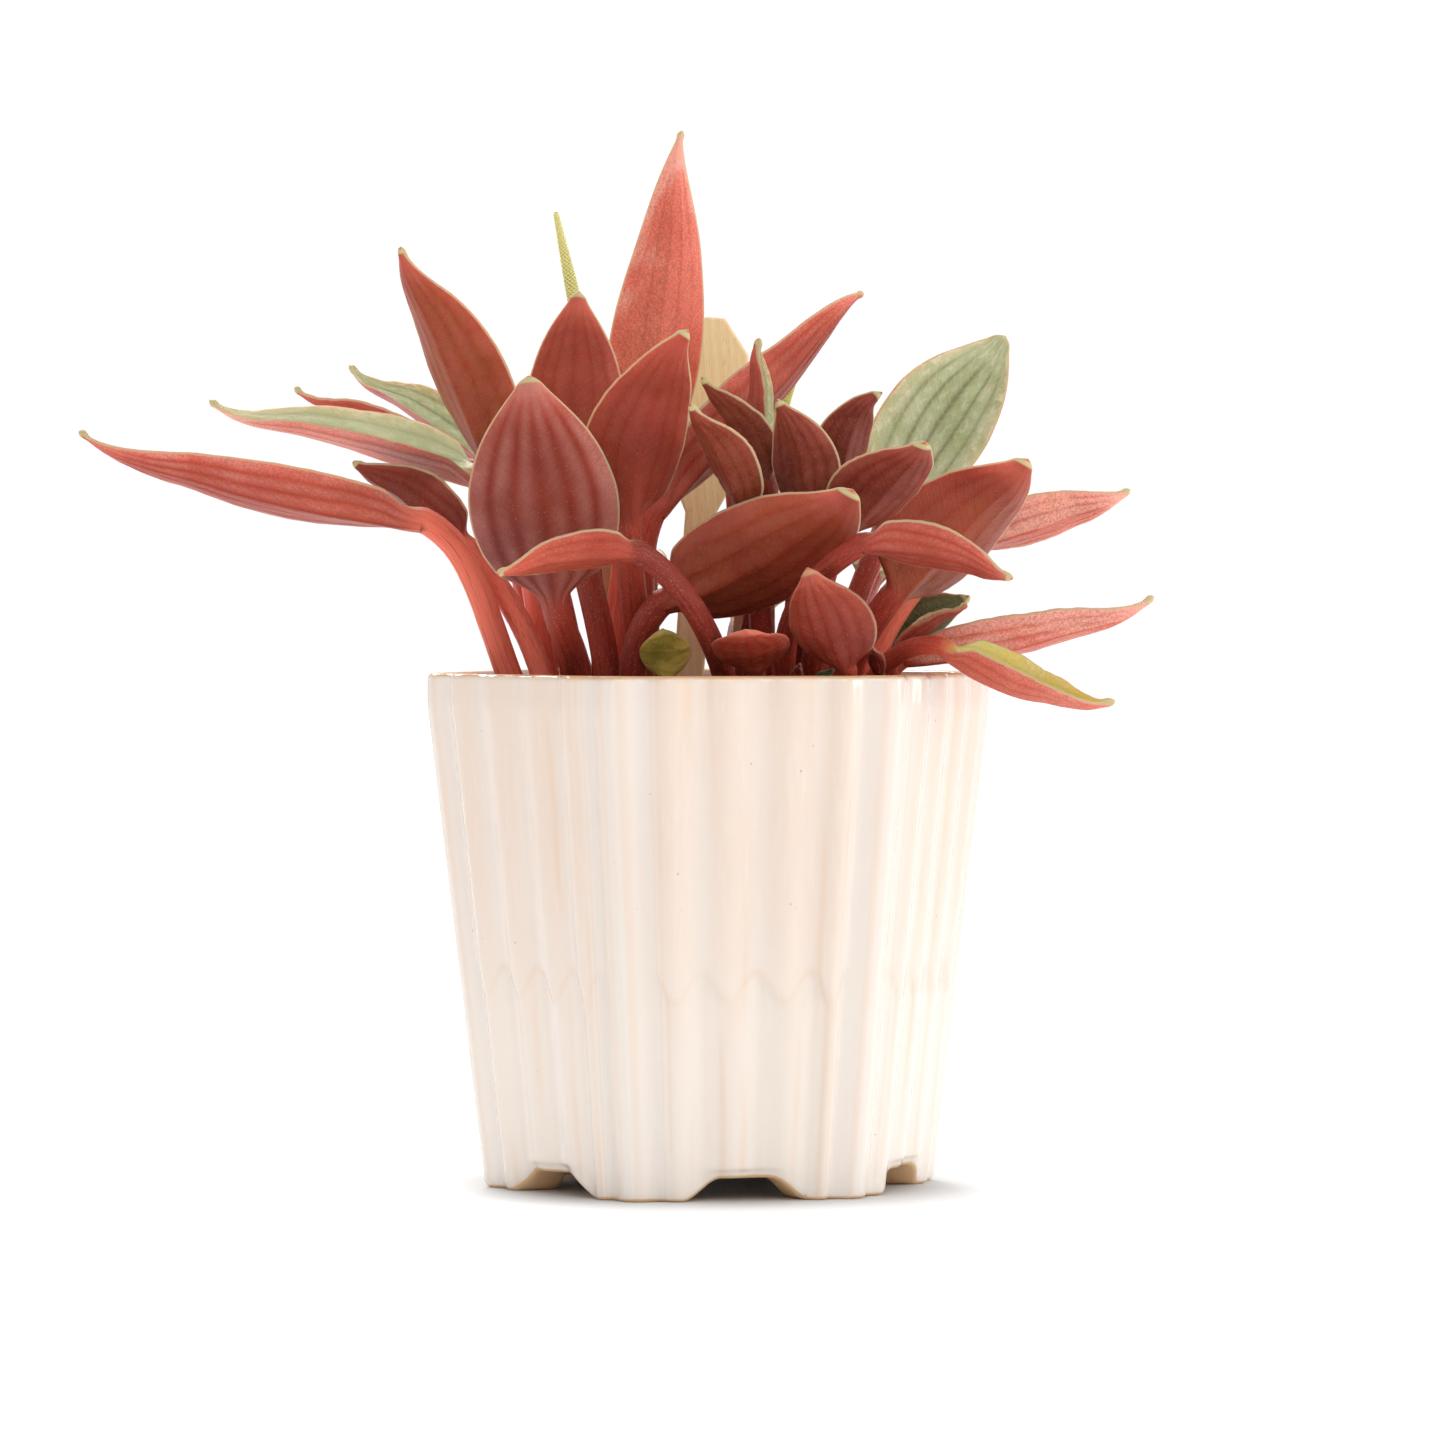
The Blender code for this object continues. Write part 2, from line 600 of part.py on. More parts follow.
def flat_plate(name, outline, thickness):
    """An upright plate from a flat outline, in millimetres."""
    curve = bpy.data.curves.new(name, "CURVE")
    curve.dimensions = "2D"
    curve.fill_mode = "BOTH"
    curve.extrude = thickness / 2 * MM
    spline = curve.splines.new("POLY")
    spline.points.add(len(outline) - 1)
    spline.use_cyclic_u = True
    for point, (x, z) in zip(spline.points, outline):
        point.co = (x * MM, z * MM, 0.0, 1.0)
    flat = bpy.data.objects.new(name, curve)
    plant.objects.link(flat)
    graph = bpy.context.evaluated_depsgraph_get()
    mesh = bpy.data.meshes.new_from_object(flat.evaluated_get(graph))
    bpy.data.objects.remove(flat)
    shape = bmesh.new()
    shape.from_mesh(mesh)
    bmesh.ops.remove_doubles(shape, verts=shape.verts, dist=0.01 * MM)
    bmesh.ops.recalc_face_normals(shape, faces=shape.faces)
    shape.to_mesh(mesh)
    shape.free()
    plate = bpy.data.objects.new(name, mesh)
    plant.objects.link(plate)
    return plate


def place_label(plate):
    plate.parent = pot_axis
    lean = radians(LABEL_LEAN)
    drop = LABEL_TOP - LABEL_SHOULDER
    plate.rotation_euler = (pi / 2, lean, 0.0)
    plate.location = Vector((LABEL_TOP_X - drop * sin(lean), LABEL_Y, LABEL_SHOULDER)) * MM


def build_label():
    label = flat_plate("plant_label", label_outline(), LABEL_THICKNESS)
    place_label(label)
    finish(label, "wood")


clear_scene()
plant = new_collection("ripple_peperomia", bpy.context.scene.collection)
cutters = new_collection("cutters", bpy.context.scene.collection)
pot_axis = bpy.data.objects.new("pot_axis", None)
pot_axis.location.x = POT_AXIS_X * MM
plant.objects.link(pot_axis)

build_pot()
build_soil()
build_crowns()
for leaf_name, leaf_row in LEAVES.items():
    build_leaf(leaf_name, leaf_row)
for spike_name, spike_points in SPIKES.items():
    build_spike(spike_name, spike_points)
build_label()
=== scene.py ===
from math import atan, cos, pi, radians, sin

import bmesh
import bpy
import numpy as np
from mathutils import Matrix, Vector


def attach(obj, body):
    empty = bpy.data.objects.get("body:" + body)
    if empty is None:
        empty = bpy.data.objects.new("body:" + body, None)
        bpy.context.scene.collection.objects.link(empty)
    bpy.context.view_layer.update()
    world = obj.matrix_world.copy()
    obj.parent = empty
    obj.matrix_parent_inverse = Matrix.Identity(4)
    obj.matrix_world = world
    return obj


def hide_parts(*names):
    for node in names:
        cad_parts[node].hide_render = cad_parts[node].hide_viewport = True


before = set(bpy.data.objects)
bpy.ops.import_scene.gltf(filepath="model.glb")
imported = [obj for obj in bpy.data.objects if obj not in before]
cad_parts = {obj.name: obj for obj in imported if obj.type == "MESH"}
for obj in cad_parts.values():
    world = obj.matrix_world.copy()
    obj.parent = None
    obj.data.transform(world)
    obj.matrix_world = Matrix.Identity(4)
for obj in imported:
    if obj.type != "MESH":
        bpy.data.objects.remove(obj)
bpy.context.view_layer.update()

mm = 0.001
potAxisX = 18.0        # the pot stands this far to the right of the origin, in mm


# Small tools shared by every piece

def mathMethod(operation):
    return lambda wire, *values: wire.math(operation, wire, *values)


class Wire:
    # one output socket; arithmetic on wires adds Math nodes to their tree

    def __init__(self, tree, socket=None):
        self.tree = tree
        self.socket = socket

    def add(self, kind, settings=None, sockets=None, out=0):
        node = self.tree.nodes.new(kind)
        for name, value in (settings or {}).items():
            setattr(node, name, value)
        for key, value in (sockets or {}).items():
            if isinstance(value, Wire):
                self.tree.links.new(value.socket, node.inputs[key])
            else:
                node.inputs[key].default_value = value
        return Wire(self.tree, node.outputs[out])

    def feed(self, socket):
        self.tree.links.new(self.socket, socket)

    def other(self, name):
        return Wire(self.tree, self.socket.node.outputs[name])

    def math(self, operation, *values):
        return self.add("ShaderNodeMath", {"operation": operation}, dict(enumerate(values)))

    __add__ = __radd__ = mathMethod("ADD")
    __mul__ = __rmul__ = mathMethod("MULTIPLY")
    __sub__ = mathMethod("SUBTRACT")
    __truediv__ = mathMethod("DIVIDE")
    __pow__ = mathMethod("POWER")
    __abs__ = mathMethod("ABSOLUTE")
    sin = mathMethod("SINE")
    cos = mathMethod("COSINE")
    sqrt = mathMethod("SQRT")
    floor = mathMethod("FLOOR")
    least = mathMethod("MINIMUM")
    most = mathMethod("MAXIMUM")

    def __rsub__(self, value):
        return self.math("SUBTRACT", value, self)

    def __neg__(self):
        return self * -1.0

    def bell(self, centre, width):
        # 1 at the centre, fading to both sides
        away = (self - centre) / width
        return self.math("EXPONENT", -(away * away))

    def bells(self, *rows):
        # a sum of bells, each given by its centre, width and height
        return sum(self.bell(centre, width) * height for centre, width, height in rows)

    def ease(self, low, high):
        # 0 below low, 1 above high, smooth between
        settings = {"interpolation_type": "SMOOTHSTEP"}
        return self.add("ShaderNodeMapRange", settings, {0: self, 1: low, 2: high})

    def blend(self, first, second):
        # this share of the way between two numbers
        return first + (second - first) * self

    def colour(self, first, second):
        # this share of the way between two colours
        first, second = (c if isinstance(c, Wire) else (*c, 1.0) for c in (first, second))
        return self.add("ShaderNodeMix", {"data_type": "RGBA"}, {0: self, 6: first, 7: second}, 2)

    def ramp(self, *stops):
        # this number's colour on a row of (place, colour) stops
        made = self.add("ShaderNodeValToRGB", None, {0: self})
        elements = made.socket.node.color_ramp.elements
        for element, (place, colour) in zip((elements[0], elements[1]), (stops[0], stops[-1])):
            element.position = place
            element.color = (*colour, 1.0)
        for place, colour in stops[1:-1]:
            elements.new(place).color = (*colour, 1.0)
        return made

    def vector(self, operation, *values, out=0):
        sockets = dict(enumerate((self, *values)))
        return self.add("ShaderNodeVectorMath", {"operation": operation}, sockets, out)

    def scaled(self, amount):
        return self.add("ShaderNodeVectorMath", {"operation": "SCALE"}, {0: self, "Scale": amount})

    def join(self, x, y, z):
        return self.add("ShaderNodeCombineXYZ", None, {0: x, 1: y, 2: z})

    def part(self, axis):
        return self.add("ShaderNodeSeparateXYZ", None, {0: self}, axis)

    def mapped(self, scale=(1.0, 1.0, 1.0), turn=(0.0, 0.0, 0.0)):
        return self.add("ShaderNodeMapping", None, {"Vector": self, "Rotation": turn, "Scale": scale})

    def noise(self, scale, detail=2.0, rough=0.5):
        sockets = {"Vector": self, "Scale": scale, "Detail": detail, "Roughness": rough}
        return self.add("ShaderNodeTexNoise", None, sockets)

    def spots(self, scale):
        # distance to the nearest of many scattered points
        sockets = {"Vector": self, "Scale": scale}
        return self.add("ShaderNodeTexVoronoi", {"feature": "F1"}, sockets, "Distance")

    def waves(self, scale, distortion, detail, detailScale):
        return self.add("ShaderNodeTexWave", {"wave_type": "BANDS", "bands_direction": "X"}, {
            "Vector": self, "Scale": scale, "Distortion": distortion, "Detail": detail,
            "Detail Scale": detailScale}, "Fac")

    def kept(self, name):
        # in a shader: the value that the shape's tree stored under this name
        return self.add("ShaderNodeAttribute", {"attribute_name": name}, out="Fac")

    def read(self, name, kind="FLOAT"):
        # in a geometry tree: the value that the guide carries under this name
        return self.add("GeometryNodeInputNamedAttribute", {"data_type": kind}, {"Name": name})

    def store(self, kind="FLOAT", domain="POINT", **values):
        # this geometry, with values kept on it by name
        shape = self
        for name, value in values.items():
            shape = shape.add(
                "GeometryNodeStoreNamedAttribute", {"data_type": kind, "domain": domain},
                {"Geometry": shape, "Name": name, "Value": value})
        return shape

    def moved(self, way, value):
        # this geometry with its points at a Position, or moved by an Offset
        return self.add("GeometryNodeSetPosition", None, {"Geometry": self, way: value})

    def together(self, other):
        both = self.add("GeometryNodeJoinGeometry", None, {"Geometry": self})
        other.feed(both.socket.node.inputs[0])
        return both

    def finish(self, material):
        # the end of every tree: real geometry, smooth, in one material
        shape = self.add("GeometryNodeRealizeInstances", None, {"Geometry": self})
        shape = shape.add("GeometryNodeSetShadeSmooth", None, {"Geometry": shape})
        shape = shape.add("GeometryNodeSetMaterial", None, {"Geometry": shape, "Material": material})
        shape.feed(self.tree.nodes.new("NodeGroupOutput").inputs[0])
        return self.tree


def newTree(name, whole, real):
    # a geometry tree with a named input for each size; returns a wire to build on and one for each input
    tree = bpy.data.node_groups.new(name, "GeometryNodeTree")
    tree.is_modifier = True
    kinds = {"Geometry": "Geometry", **dict.fromkeys(whole, "Int"), **dict.fromkeys(real, "Float")}
    for label, kind in kinds.items():
        tree.interface.new_socket(label, in_out="INPUT", socket_type="NodeSocket" + kind)
    tree.interface.new_socket("Geometry", in_out="OUTPUT", socket_type="NodeSocketGeometry")
    entry = tree.nodes.new("NodeGroupInput")
    return Wire(tree), {s.name: Wire(tree, s) for s in entry.outputs if s.name}


def guideGrid(start, given, around, extra=0.0):
    # a grid with a row for each point of the guide; extra rows start the guide again
    around = around + 1.0
    grid = start.add(
        "GeometryNodeMeshGrid", None, {"Vertices X": given["Rows"] + extra, "Vertices Y": around})
    index = start.add("GeometryNodeInputIndex")
    row = ((index + 0.25) / around).floor()
    column = index - row * around
    row = start.math("MODULO", row + 0.1, given["Rows"]).floor()

    def sample(value, kind="FLOAT"):
        value = start.read(value, kind) if isinstance(value, str) else value
        return start.add(
            "GeometryNodeSampleIndex", {"data_type": kind, "domain": "POINT"},
            {"Geometry": given["Geometry"], "Value": value, "Index": row})

    return grid, column, sample


def newObject(name, data):
    obj = bpy.data.objects.new(name, data)
    bpy.context.scene.collection.objects.link(obj)
    return obj


def bakedMesh(obj):
    # what the object's modifiers make of it, as a mesh; the object goes
    graph = bpy.context.evaluated_depsgraph_get()
    mesh = bpy.data.meshes.new_from_object(
        obj.evaluated_get(graph), preserve_all_data_layers=True, depsgraph=graph)
    bpy.data.objects.remove(obj)
    return mesh


def runTree(name, mesh, tree, values):
    # grows a tree on a mesh and bakes what it makes into a plain object
    source = newObject(name + "_source", mesh)
    modifier = source.modifiers.new("shape", "NODES")
    modifier.node_group = tree
    for item in tree.interface.items_tree:
        if item.in_out == "INPUT" and item.name in values:
            value = values[item.name]
            modifier[item.identifier] = float(value) if item.socket_type == "NodeSocketFloat" else value
    made = bakedMesh(source)
    made.name = name
    return newObject(name, made)


def meshFrom(shape, name):
    mesh = bpy.data.meshes.new(name)
    shape.to_mesh(mesh)
    shape.free()
    return mesh


def band(shape, lower, upper):
    # faces between two closed rings
    for i in range(len(lower)):
        shape.faces.new((lower[i - 1], lower[i], upper[i], upper[i - 1]))


def turnOutwards(mesh):
    shape = bmesh.new()
    shape.from_mesh(mesh)
    bmesh.ops.recalc_face_normals(shape, faces=shape.faces)
    shape.to_mesh(mesh)
    shape.free()


def settle(obj, node):
    # the piece stands for the CAD node and rides with it
    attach(obj, "root")
    if node:
        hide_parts(node)


def guideMesh(name, points, values):
    # a row of points, in mm, with a value or a vector at each
    mesh = bpy.data.meshes.new(name)
    edges = [(i, i + 1) for i in range(len(points) - 1)]
    mesh.from_pydata([tuple(p) for p in np.asarray(points) * mm], edges, [])
    for label, column in values.items():
        column = np.asarray(column, np.float32)
        kind, field = ("FLOAT", "value") if column.ndim == 1 else ("FLOAT_VECTOR", "vector")
        mesh.attributes.new(label, kind, "POINT").data.foreach_set(field, column.ravel())
    return mesh


def newMaterial(name, **constants):
    # a Principled material; returns it with a wire for the place on the object and the shader's inputs
    material = bpy.data.materials.new(name)
    material.use_nodes = True
    shader = material.node_tree.nodes["Principled BSDF"]
    for label, value in constants.items():
        shader.inputs[label.replace("_", " ")].default_value = value
    place = Wire(material.node_tree).add("ShaderNodeTexCoord", out="Object")
    return material, place, shader.inputs


def layers(colour, *rows):
    # colours laid one over another, each with its share
    for share, over in rows:
        colour = share.colour(colour, over)
    return colour


def dress(sockets, colour, roughness, relief, strength, distance):
    # gives a shader its colour, roughness and fine relief
    colour.feed(sockets["Base Color"])
    roughness.feed(sockets["Roughness"])
    bump = {"Strength": strength, "Distance": distance, "Height": relief}
    relief.add("ShaderNodeBump", None, bump, "Normal").feed(sockets["Normal"])


def unit(vector):
    return vector / np.linalg.norm(vector)


# Camera, light and table

view = dict(
    distance=1344.0, height=118.9, focalPixels=7000.0, imagePixels=1445.0, sensor=36.0, horizon=157.5,
    axisLeft=12.0, lampsAim=110.0)
lights = {
    "rear_softbox": dict(place=(-0.25, 0.75, 0.85), size=0.8, power=9.5),
    "front_softbox": dict(place=(0.20, -1.0, 0.80), size=0.8, power=3.2),
    "right_softbox": dict(place=(0.95, -0.10, 0.35), size=0.6, power=3.0),
}
room = dict(sky=0.58, horizon=1.03, low=0.12, high=0.32)
table = dict(
    size=6.0, white=0.6, mottle=0.02, glow=0.50, glowNear=0.036, glowFull=0.064, far=0.68, farNear=0.3,
    farFull=1.5)


def buildStage():
    scale = view["distance"] / view["focalPixels"]          # mm per pixel at the pot's axis
    camera = bpy.data.cameras.new("camera")
    camera.sensor_width = view["sensor"]
    camera.lens = view["focalPixels"] / view["imagePixels"] * view["sensor"]
    cameraObject = newObject("camera", camera)
    cameraObject.location = Vector(
        (potAxisX + view["axisLeft"] * scale, -view["distance"], view["height"])) * mm
    cameraObject.rotation_euler = (pi / 2 - atan(view["horizon"] / view["focalPixels"]), 0.0, 0.0)
    bpy.context.scene.camera = cameraObject

    middle = Vector((potAxisX, 0.0, view["lampsAim"])) * mm
    for name, row in lights.items():
        lamp = bpy.data.lights.new(name, "AREA")
        lamp.shape = "DISK"
        lamp.size = row["size"]
        lamp.energy = row["power"]
        lampObject = newObject(name, lamp)
        lampObject.location = row["place"]
        lampObject.rotation_euler = (middle - lampObject.location).to_track_quat("-Z", "Y").to_euler()

    # a white band at the horizon and a softer sky above it
    world = bpy.data.worlds.new("studio")
    world.use_nodes = True
    background = world.node_tree.nodes["Background"]
    background.inputs["Color"].default_value = (1.0, 1.0, 1.0, 1.0)
    height = abs(Wire(world.node_tree).add("ShaderNodeTexCoord", out="Generated").part("Z"))
    bright = height.ease(room["low"], room["high"]).blend(room["horizon"], room["sky"])
    bright.feed(background.inputs["Strength"])
    bpy.context.scene.world = world
    bpy.context.scene.view_settings.view_transform = "Standard"

    # the table glows a little away from the pot, as an overexposed white top does
    shape = bmesh.new()
    bmesh.ops.create_grid(shape, x_segments=4, y_segments=4, size=table["size"])
    top = newObject("table_top", meshFrom(shape, "table_top"))
    material, place, sockets = newMaterial(
        "pale_table", Roughness=0.6, Emission_Strength=1.0, Specular_IOR_Level=0.2)
    away = place.vector("SUBTRACT", (potAxisX * mm, 0.0, 0.0)).vector("LENGTH", out="Value")
    glow = away.ease(table["glowNear"], table["glowFull"]) * table["glow"]
    glow = glow + away.ease(table["farNear"], table["farFull"]) * (table["far"] - table["glow"])
    cloud = place.noise(3.0) * table["mottle"] + table["white"]
    place.join(cloud, cloud, cloud).feed(sockets["Base Color"])
    place.join(glow, glow, glow).feed(sockets["Emission Color"])
    top.data.materials.append(material)
    print("camera, light and table are ready")


buildStage()


# Pot: one outline that turns round the axis of a six-sided pot, with its glaze

pot = dict(
    height=98.3, rimRadius=55.7, baseRadius=44.6, lip=6.0, lipRound=1.25, wall=4.6, firstCorner=-80.0,
    perSide=72, floorTop=9.5, recessTop=4.35, recessRadius=31.0, drainRadius=5.0,
    footEdge=((0.0, 1.3), (0.12, 0.75), (0.4, 0.3), (0.85, 0.08)),            # height, set in
    recessEdge=((0.0, -0.6), (0.15, -2.4), (0.5, -3.9), (1.2, -4.35)),        # set out, below the recess
    channelPlace=0.105, channelWidth=0.05, channelDepth=1.1, cornerRound=0.9, cornerWidth=0.035,
    cornerFill=2.4, fillWidth=0.06, fillTurn=0.065, reedHeight=1.05, tongueTop=43.0, tongueTip=37.5,
    tierRise=2.8, lowerSetIn=0.35, archHalf=10.4, archHeight=4.3, archFlat=0.44, archEnd=1.20,
    wobble=0.35, wobbleFine=40.0, wobbleTall=0.35, seamFrom=0.10, seamFull=0.17,
    upperGrooves=(0.12, 0.31, 0.52, 0.73, 0.88), lowerGrooves=(0.12, 0.33, 0.55, 0.76, 0.88))


def potCornerRadius(z):
    share = min(1.0, z / (pot["height"] - pot["lip"]))
    return pot["baseRadius"] + (pot["rimRadius"] - pot["baseRadius"]) * share


def potInnerRadius(z):
    return potCornerRadius(z) - pot["wall"] / cos(pi / 6)


def potProfile():
    # rows of (corner radius, height, outside, arch, round, glaze edge), up the wall and back down inside;
    # the last four are shares from 0 to 1
    rim, floor, drain, recess = pot["height"], pot["floorTop"], pot["drainRadius"], pot["recessTop"]
    lip, inside = pot["lipRound"], potInnerRadius(rim)
    rows = []
    for z, setIn in pot["footEdge"]:
        rows.append((potCornerRadius(z) - setIn, z, 1, 1, 0, 1.0 - z * 0.9))
    for z in np.arange(1.5, rim - 1.2, 0.85):
        rows.append((potCornerRadius(z), z, 1, max(0.0, 1.0 - (z - 1.2) / 5.0), 0, 0))
    for turn in np.linspace(0.12, 1.0, 7):
        over, up = lip * (1 - cos(turn * pi / 2)), lip * (1 - sin(turn * pi / 2))
        rows.append((pot["rimRadius"] - over, rim - up, 1, 0, 0, turn))
    for turn in np.linspace(0.0, 1.0, 6):
        over, up = lip * (1 - sin(turn * pi / 2)), lip * (1 - cos(turn * pi / 2))
        rows.append((inside + over, rim - up, 0, 0, 0, 1 - turn))
    for z in np.linspace(rim - 3.0, floor + 2.0, 14):
        rows.append((potInnerRadius(z), z, 0, 0, 0, 0))
    rows.append((potInnerRadius(floor) - 0.7, floor + 0.5, 0, 0, 0, 0))
    for share in np.linspace(0.1, 1.0, 6):
        rows.append(((potInnerRadius(floor) - 2.0) * (1 - share) + drain * share, floor, 0, 0, share, 0))
    for z in (floor - 0.6, 7.0, recess + 0.5, recess):
        rows.append((drain - 0.1, z, 0, 0, 1, 0))
    for radius in (8.0, 16.0, 24.0, pot["recessRadius"] - 1.0):
        rows.append((radius, recess, 0, 0, 1, 0))
    for out, z in pot["recessEdge"]:
        rows.append((pot["recessRadius"] + out, recess + z, 0, min(1.0, -z / recess), 1, -z / 5))
    for share in (0.25, 0.5, 0.75):
        radius = (pot["recessRadius"] + 1.2) * (1 - share) + (pot["baseRadius"] - 1.6) * share
        rows.append((radius, 0.0, share, 1, 1 - share, 0.9))
    return rows


def potTree(material):
    start, given = newTree("pot_shape", ("Sides", "Steps", "Rows"), (
        "First Corner", "Channel Depth", "Corner Round", "Reed Height", "Tongue Top", "Tongue Tip",
        "Arch Half", "Arch Height"))
    # one row more than the guide has, because the last lies on the first again
    grid, column, sample = guideGrid(start, given, given["Sides"] * given["Steps"], 1.0)
    radius, height, outside = sample("radius"), sample("height"), sample("outside")
    side = ((column + 0.01) / given["Steps"]).floor()
    share = (column - side * given["Steps"]) / given["Steps"]
    first = (given["First Corner"] + side * 60.0) * (pi / 180)
    second = first + pi / 3
    x = first.sin() * (1 - share) + second.sin() * share
    y = -(first.cos() * (1 - share) + second.cos() * share)
    reach = (x * x + y * y).sqrt()                            # the flat side lies nearer than its corners
    fromCorner = share.least(1 - share)
    channel = fromCorner.bell(pot["channelPlace"], pot["channelWidth"]) * given["Channel Depth"]
    corner = fromCorner.bell(0.0, pot["cornerWidth"]) * given["Corner Round"]

    def reeds(grooves):
        total = 0.0
        for low, high in zip(grooves, grooves[1:]):
            across = ((share - (low + high) / 2) / ((high - low) / 2)).least(1.0).most(-1.0)
            total = total + ((across * pi).cos() + 1) * 0.5
        return total

    upper = reeds(pot["upperGrooves"])
    edge = given["Tongue Top"] - (given["Tongue Top"] - given["Tongue Tip"]) * upper
    tier = ((height - edge) / pot["tierRise"] + 0.5).ease(0.0, 1.0)
    setIn = fromCorner.ease(pot["channelPlace"] - 0.01, pot["channelPlace"] + 0.03) * pot["lowerSetIn"]
    lower = reeds(pot["lowerGrooves"]) * given["Reed Height"] - setIn
    stand = tier.blend(lower, upper * given["Reed Height"]) - channel - corner
    inner = fromCorner.bell(0.0, pot["fillWidth"]) * -pot["cornerFill"]
    off = ((share - 0.5) * pot["baseRadius"]) / given["Arch Half"]
    arch = (1 - abs(off).ease(pot["archFlat"], pot["archEnd"])) * given["Arch Height"]
    flat = radius * reach + outside.blend(inner, stand)
    distance = sample("round").blend(flat, radius)
    lifted = height + arch * sample("arch")
    # thrown and glazed by hand
    place = start.join(x * pot["wobbleFine"], y * pot["wobbleFine"], height * pot["wobbleTall"])
    wobble = start.add(
        "ShaderNodeTexNoise", {"noise_dimensions": "4D"}, {"Vector": place, "W": 3.0, "Scale": 0.5})
    distance = distance + (wobble - 0.5) * pot["wobble"] * outside
    place = start.join(x / reach * distance * mm, y / reach * distance * mm, lifted * mm)
    shape = grid.moved("Position", place.vector("ADD", (potAxisX * mm, 0.0, 0.0)))
    seam = tier * (1 - tier) * 4.0 * outside * (1 - upper * 0.55)
    seam = seam * fromCorner.ease(pot["seamFrom"], pot["seamFull"])
    shape = shape.store(stand=stand * outside, edge=sample("edge"), seam=seam)
    shape = start.add("GeometryNodeMergeByDistance", None, {"Geometry": shape, "Distance": 0.00001})
    return shape.finish(material)


def glazeMaterial():
    material, place, sockets = newMaterial(
        "cream_glaze", Coat_Roughness=0.06, Specular_IOR_Level=0.5, Subsurface_Scale=0.003,
        Subsurface_Weight=0.12, Subsurface_Radius=(1.0, 0.6, 0.4))
    tall = place.mapped((1.0, 1.0, 0.04))
    streaks = tall.noise(900.0, 3.0, 0.6)
    broad = tall.noise(160.0)
    cloud = place.noise(45.0, 3.0)
    stand, edge, seam = place.kept("stand"), place.kept("edge"), place.kept("seam")
    warm = (stand.ease(-1.0, 0.9) * 0.45 + broad * 0.55 + cloud * 0.25).ease(0.30, 0.90)
    # paler towards the foot: partly a lighter glaze there, partly painted light bounced up from the table
    low = 1 - place.part("Z").ease(0.005, 0.075)
    ridge = (
        stand.bell(0.35, 0.22) * broad.ease(0.42, 0.62) * 0.28 + stand.bell(-0.45, 0.15) * 0.16
        + seam * cloud.ease(0.35, 0.6) * 0.26)
    ragged = edge + (cloud - 0.5) * 0.7 + (streaks - 0.5) * 0.3
    bare = ragged.ease(0.6, 0.95)
    dots = (1 - place.spots(330.0).ease(0.04, 0.10)) * place.noise(210.0, 0.0).ease(0.66, 0.70)
    colour = layers(
        warm.colour((0.81, 0.72, 0.65), (0.79, 0.645, 0.54)),
        (low * 0.7, (0.88, 0.81, 0.74)),
        (streaks.ease(0.50, 0.72) * 0.3, (0.84, 0.74, 0.66)),
        (ridge, (0.76, 0.49, 0.29)),
        (ragged.ease(0.28, 0.62), (0.80, 0.52, 0.28)),
        (dots * 0.55, (0.42, 0.27, 0.17)))
    dress(
        sockets, colour, (cloud.ease(0.3, 0.7) * 0.10 + 0.13) + bare * 0.35,
        streaks * 0.25 + cloud * 0.5 + dots * -0.6, 0.35, 0.00025)
    ((1 - bare) * 0.6).feed(sockets["Coat Weight"])
    return material


def buildPot():
    rows = potProfile()
    names = ("radius", "height", "outside", "arch", "round", "edge")
    guide = guideMesh("pot_profile", [(0.0, 0.0, i) for i in range(len(rows))], dict(zip(names, zip(*rows))))
    made = runTree("glazed_pot", guide, potTree(glazeMaterial()), {
        "Sides": 6, "Steps": pot["perSide"], "Rows": len(rows), "First Corner": pot["firstCorner"],
        "Channel Depth": pot["channelDepth"], "Corner Round": pot["cornerRound"],
        "Reed Height": pot["reedHeight"], "Tongue Top": pot["tongueTop"], "Tongue Tip": pot["tongueTip"],
        "Arch Half": pot["archHalf"], "Arch Height": pot["archHeight"]})
    turnOutwards(made.data)
    settle(made, "pot")
    print("pot:", len(made.data.polygons), "faces")


buildPot()


# Leaves: each grows along a middle line, stalk and blade in one skin

skin = dict(
    stalkSteps=22, bladeSteps=60, around=56, foot=91.5, lean=0.45, thickness=0.9, ripple=0.17, wave=0.45,
    knob=0.95, ribWidth=2.1,
    # veins: each one's place and width as shares of the half width, and its strength
    grooves=((0.0, 0.085, 1.0), (0.37, 0.07, 0.9), (0.70, 0.06, 0.7)),
    lines=((0.0, 0.045, 1.0), (0.36, 0.035, 0.8), (0.68, 0.03, 0.5)),
    bands=((0.0, 0.15, 1.0), (0.36, 0.11, 1.0), (0.68, 0.09, 1.0)))
usual = dict(              # what a leaf has unless its row says otherwise
    stalk=2.6, fold=30.0, cup=25.0, belly=0.38, blunt=0.56, point=0.86, rise=0.45, hook=0.3, entry=0.5,
    curl=0.05, arch=0.0, sway=0.0, turn=0.0, ripple=1.0, wave=1.0, glow=0.4, warm=0.3, sheen=0.35,
    lime=0.0, edge=1.0)
looks = ("Glow", "Warm", "Sheen", "Lime", "Stem", "Edge")
